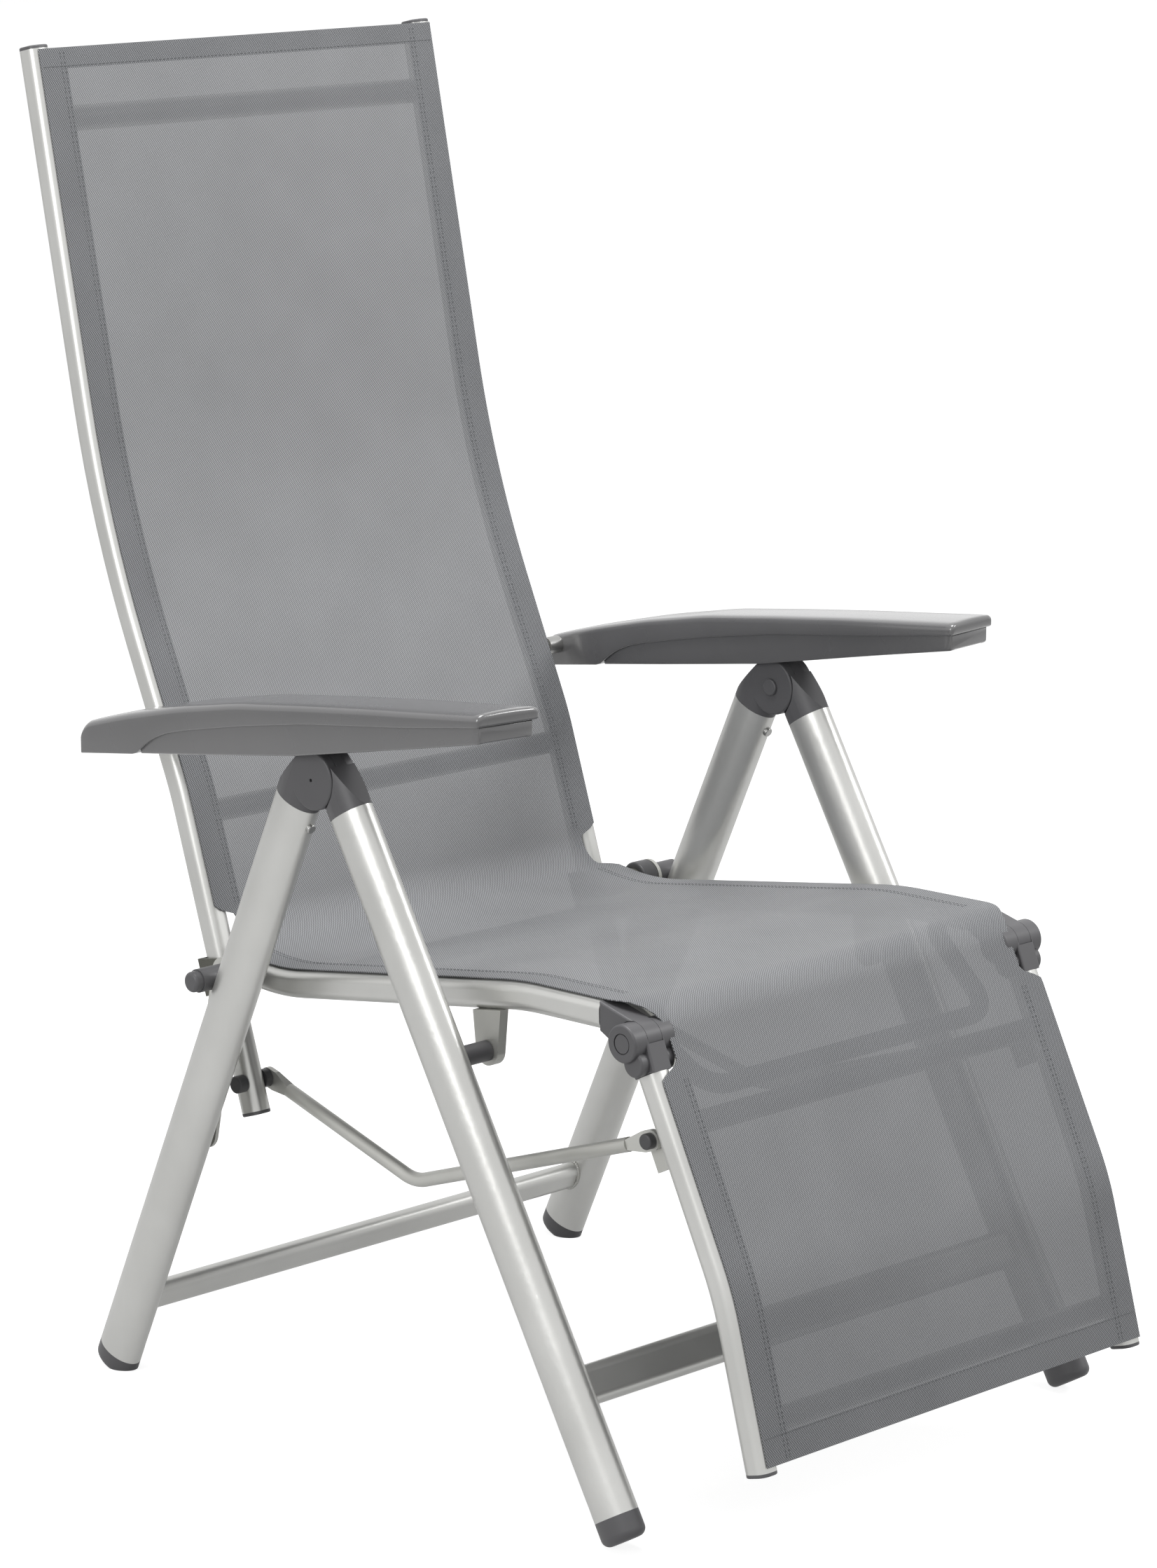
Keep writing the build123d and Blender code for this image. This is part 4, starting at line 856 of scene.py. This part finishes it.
def top_section(half, low, high, upper_round, lower_round, crown):
    """A rounded box whose top bulges up by crown."""
    upper_round = min(upper_round, 0.49 * (high - low))
    lower_round = min(lower_round, 0.3 * (high - low))
    right = corner(half - upper_round, high - upper_round, upper_round, 0)
    left = corner(-half + upper_round, high - upper_round, upper_round, 90)
    bulge = [(x, high + crown * (1 - (x / half) ** 2))
             for x in np.linspace(half - upper_round, -half + upper_round, 9)]
    base = corner(-half + lower_round, low + lower_round, lower_round, 180)
    base += corner(half - lower_round, low + lower_round, lower_round, 270)
    return right[:-1] + bulge + left[1:] + base


def base_section(half, low, high, lower_round, channel):
    """A box open along its underside by a shallow channel."""
    wall, draft = 0.0046, 0.0004
    inner = half - wall
    outline = [(half, high), (-half, high)]
    outline += corner(-half + lower_round, low + lower_round, lower_round, 180, 4)
    outline += [(-inner, low), (-inner, low + channel * 0.5), (-inner + draft, low + channel)]
    outline += [(inner - draft, low + channel), (inner, low + channel * 0.5), (inner, low)]
    outline += corner(half - lower_round, low + lower_round, lower_round, 270, 4)
    return outline


# %% Loft
def loft(name, stations, material):
    """A closed mesh through sections; a station is (y, skew, section)."""
    points, faces = [], []
    count = len(stations[0][2])
    for y, askew, section in stations:
        for x, z in section:
            points.append((x, y + askew * x, z))
    for row in range(len(stations) - 1):
        for i in range(count):
            j = (i + 1) % count
            a, b = row * count, (row + 1) * count
            faces.append((a + i, a + j, b + j, b + i))
    faces.append(tuple(reversed(range(count))))
    faces.append(tuple(range((len(stations) - 1) * count, len(stations) * count)))
    mesh = bpy.data.meshes.new(name)
    mesh.from_pydata(points, [], faces)
    mesh.materials.append(material)
    piece = bpy.data.objects.new(name, mesh)
    bpy.context.scene.collection.objects.link(piece)
    return piece


def shrunk(section, amount):
    """A section drawn in on all sides, for the rounded rim of an end."""
    xs, zs = [p[0] for p in section], [p[1] for p in section]
    cx, cz = (max(xs) + min(xs)) / 2, (max(zs) + min(zs)) / 2
    wide, high = (max(xs) - min(xs)) / 2, (max(zs) - min(zs)) / 2
    keep_x, keep_z = 1 - amount / wide, 1 - min(0.9, amount / high)
    return [(cx + (x - cx) * keep_x, cz + (z - cz) * keep_z) for x, z in section]


# %% Sections at a place along the armrest
skew = 7.0 / 60.0
front_y = -0.186 - forward - skew * 0.030
nose_y = front_y + 0.0035
track_front, track_rear = -0.165, 0.098
least_channel = 0.0002
top_edge, bottom_edge, crown_rise = 0.0052, 0.0012, 0.0012
base_edge, base_overlap = 0.0018, 0.0004


def top_at(y):
    """The top moulding's section, above the seam."""
    low = max(arm_seam_z(y), arm_bottom_z(y))
    return top_section(arm_top_half(y), low, arm_top_z(y), top_edge, bottom_edge, crown_rise)


def base_at(y):
    """The base moulding's section, with the channel where the hub runs."""
    low, channel = arm_bottom_z(y), least_channel
    if track_front < y < track_rear:
        channel = max(least_channel, track_z(y) - low)
    return base_section(arm_base_half(y), low, arm_seam_z(y) + base_overlap, base_edge, channel)


def skew_at(y):
    """The front end is cut askew; a hand's width back the sections are square."""
    return skew * (1 - ease(y, front_y, front_y + 0.10))


def tail_at(y, drop, inset):
    """A section of the rear end, whose top rounds down to an upright face."""
    high = arm_top_z(y) - drop
    section = top_section(arm_top_half(y), arm_bottom_z(y), high, top_edge, bottom_edge,
                          crown_rise)
    return shrunk(section, inset)


# %% [markdown]
# Each moulding starts with a rounded rim, and has even stations after it. The top's rear
# end is rounded down to an upright face in small turns.

# %% Stations of the two shells
rim = [(0.0, 0.0034), (0.0004, 0.0018), (0.0012, 0.0007), (0.0026, 0.0)]
rim_length, station_step = 0.008, 0.006
tail_round = 0.012
tail_y = 0.307 - forward
base_end = 0.2335 - forward
tail_turns = np.radians((8, 18, 28, 38, 48, 58, 67, 75, 82, 87, 90))


def stations_from(start, end, section_at, rim_share):
    """The rounded rim of the front end, and then even stations."""
    stations = [(start + dy, skew_at(start + dy), shrunk(section_at(start + dy), inset * rim_share))
                for dy, inset in rim]
    return stations + [(y, skew_at(y), section_at(y))
                       for y in np.arange(start + rim_length, end, station_step)]


top_stations = stations_from(front_y, tail_y - tail_round, top_at, 1.0)
for turn in tail_turns:
    y = tail_y - tail_round * (1 - math.sin(turn))
    inset = max(0.0, math.sin(turn) - 0.93) * 0.02
    top_stations.append((y, 0.0, tail_at(y, tail_round * (1 - math.cos(turn)), inset)))
base_stations = stations_from(nose_y, base_end, base_at, 0.5)
print("armrest stations", len(top_stations), len(base_stations))

# %% [markdown]
# The bolt of the armrest turns in a blind hole in the top moulding. A Boolean with a
# slightly larger peg cuts that hole. The other armrest is the mirror image, so its faces
# are turned the other way round after the mirror.


# %% Finish one armrest
def outward(piece):
    """Merge doubles and point every face outwards."""
    shape = bmesh.new()
    shape.from_mesh(piece.data)
    bmesh.ops.remove_doubles(shape, verts=shape.verts, dist=0.00002)
    bmesh.ops.recalc_face_normals(shape, faces=shape.faces)
    shape.to_mesh(piece.data)
    shape.free()


def bored(piece, place, radius, depth):
    """Cut a blind hole across the armrest's inner wall."""
    peg_mesh = bpy.data.meshes.new("peg")
    sideways = Vector((0, 0, 1)).rotation_difference(Vector((1, 0, 0))).to_matrix()
    shape = bmesh.new()
    bmesh.ops.create_cone(shape, cap_ends=True, segments=32, radius1=radius, radius2=radius,
                          depth=depth)
    bmesh.ops.rotate(shape, verts=shape.verts, cent=(0, 0, 0), matrix=sideways)
    bmesh.ops.translate(shape, verts=shape.verts, vec=place)
    shape.to_mesh(peg_mesh)
    shape.free()
    peg = bpy.data.objects.new("peg", peg_mesh)
    bpy.context.scene.collection.objects.link(peg)
    cut = piece.modifiers.new("hole", "BOOLEAN")
    cut.operation = "DIFFERENCE"
    cut.solver = "EXACT"
    cut.object = peg
    applied(piece, cut)
    bpy.data.objects.remove(peg)


def shade_by_angle(piece, degrees):
    """Smooth the gentle bends and keep the sharp edges."""
    shape = bmesh.new()
    shape.from_mesh(piece.data)
    for face in shape.faces:
        face.smooth = True
    for edge in shape.edges:
        gentle = len(edge.link_faces) == 2 and edge.calc_face_angle() < math.radians(degrees)
        edge.smooth = gentle
    shape.to_mesh(piece.data)
    shape.free()


# %% Both armrests
arm_pivot = (0.273003, 0.571)
hole_x, hole_radius, hole_depth = -0.018, 0.0036, 0.017
sharp_degrees = 38
for side, body in ((1, "armrest_left"), (-1, "armrest_right")):
    label = body.split("_")[1]
    shells = (loft("armrest_cap_" + label, top_stations, satin),
              loft("armrest_shell_" + label, base_stations, satin))
    for shell, node_name in zip(shells, ("armrest_top_", "armrest_base_")):
        outward(shell)
        if node_name == "armrest_top_":
            bored(shell, (hole_x, *arm_pivot), hole_radius, hole_depth)
        for vertex in shell.data.vertices:
            vertex.co.x = side * (arm_middle + vertex.co.x)
        outward(shell)
        shade_by_angle(shell, sharp_degrees)
        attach(shell, body)
        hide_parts(node_name + label)
        print(shell.name, len(shell.data.polygons), "faces")

# %% [markdown]
# ## Weld beads
# The bars are welded to the tubes all the way round. A weld laid by hand is a ring of small
# overlapping ripples, so it is the same repeating tree, run on closed rings.

# %% Rings for the welds
leg_middle, leg_half_width, leg_half_depth = 0.270, 0.0145, 0.0225
rail_inner_x = 0.2097
ring_points = 48
proud = 0.0003


def ring(x, centre, half_u, half_v, tilt=0.0):
    """A closed oval in a side plane, from its half sizes and a tilt in degrees."""
    line = []
    cos, sin = math.cos(math.radians(tilt)), math.sin(math.radians(tilt))
    for angle in np.linspace(0, 2 * math.pi, ring_points, endpoint=False):
        u, v = half_u * math.cos(angle), half_v * math.sin(angle)
        line.append((x, centre[0] + u * cos - v * sin, centre[1] + u * sin + v * cos))
    return line


def on_rails(*bars):
    """A ring at both ends of each bar; a bar is its (centre, half size)."""
    return [ring(side * rail_inner_x, centre, half, half)
            for centre, half in bars for side in (-1, 1)]


def on_legs(centre, half_u, half_v, tilt):
    """A ring at both ends of a crossbar, laid on the curved inner side of each oval leg."""
    rings = []
    for side in (-1, 1):
        bent = []
        for i, (x, y, z) in enumerate(ring(leg_middle, centre, half_u, half_v, tilt)):
            off_middle = half_v * math.sin(2 * math.pi * i / ring_points)
            rise = leg_half_width * math.sqrt(1 - (off_middle / leg_half_depth) ** 2)
            bent.append((side * (x - rise - proud), y, z))
        rings.append(bent)
    return rings


# %% [markdown]
# The round bars meet the rails' flat inner sides. The flat-oval crossbars meet the curved
# legs, so their rings are bent to the leg.


# %% Where the bars are welded
def middle_of(node_name):
    """The middle of a part's box, in the side view."""
    low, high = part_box(node_name)
    return tuple((low[i] + high[i]) / 2 for i in (1, 2))


def on_rest(z, start, end):
    """The place at one height on a straight run of the leg rest's rails."""
    return (np.interp(z, (end[1], start[1]), (end[0], start[0])), z)


bead_size = {"Pitch": 0.0019, "Length": 0.0030, "Width": 0.0034, "Height": 0.0034}
back_bar_top = lean(back_high, top_lean, 1.067)
back_bar_low = lean(back_foot, lumbar_lean, 0.49)
seat_bar_y = pivot[0] - 0.062
seat_bar = (seat_bar_y, np.interp(seat_bar_y, (seat_rise[0], seat_dip[0]),
                                  (seat_rise[1], seat_dip[1])))
rest_bar_top = on_rest(0.3334, rest_top, rest_bend)
rest_bar_low = on_rest(0.112, rest_bend, rest_end)
weld_rings = {
    "rear_frame": on_legs(middle_of("rear_crossbar"), 0.0143, 0.0087, 90 + 24.6),
    "front_frame": on_legs(middle_of("front_crossbar"), 0.0173, 0.0087, 90 - 30.4),
    "back_frame": on_rails((back_bar_top, 0.0113), (back_bar_low, 0.0103)),
    "seat_frame": on_rails((seat_bar, 0.0093)),
    "leg_rest": on_rails((rest_bar_top, 0.0098), (rest_bar_low, 0.0098)),
}
for body, rings in weld_rings.items():
    beads = along_lines("welds_" + body, bead_tree, rings, True, **bead_size)
    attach(beads, body)
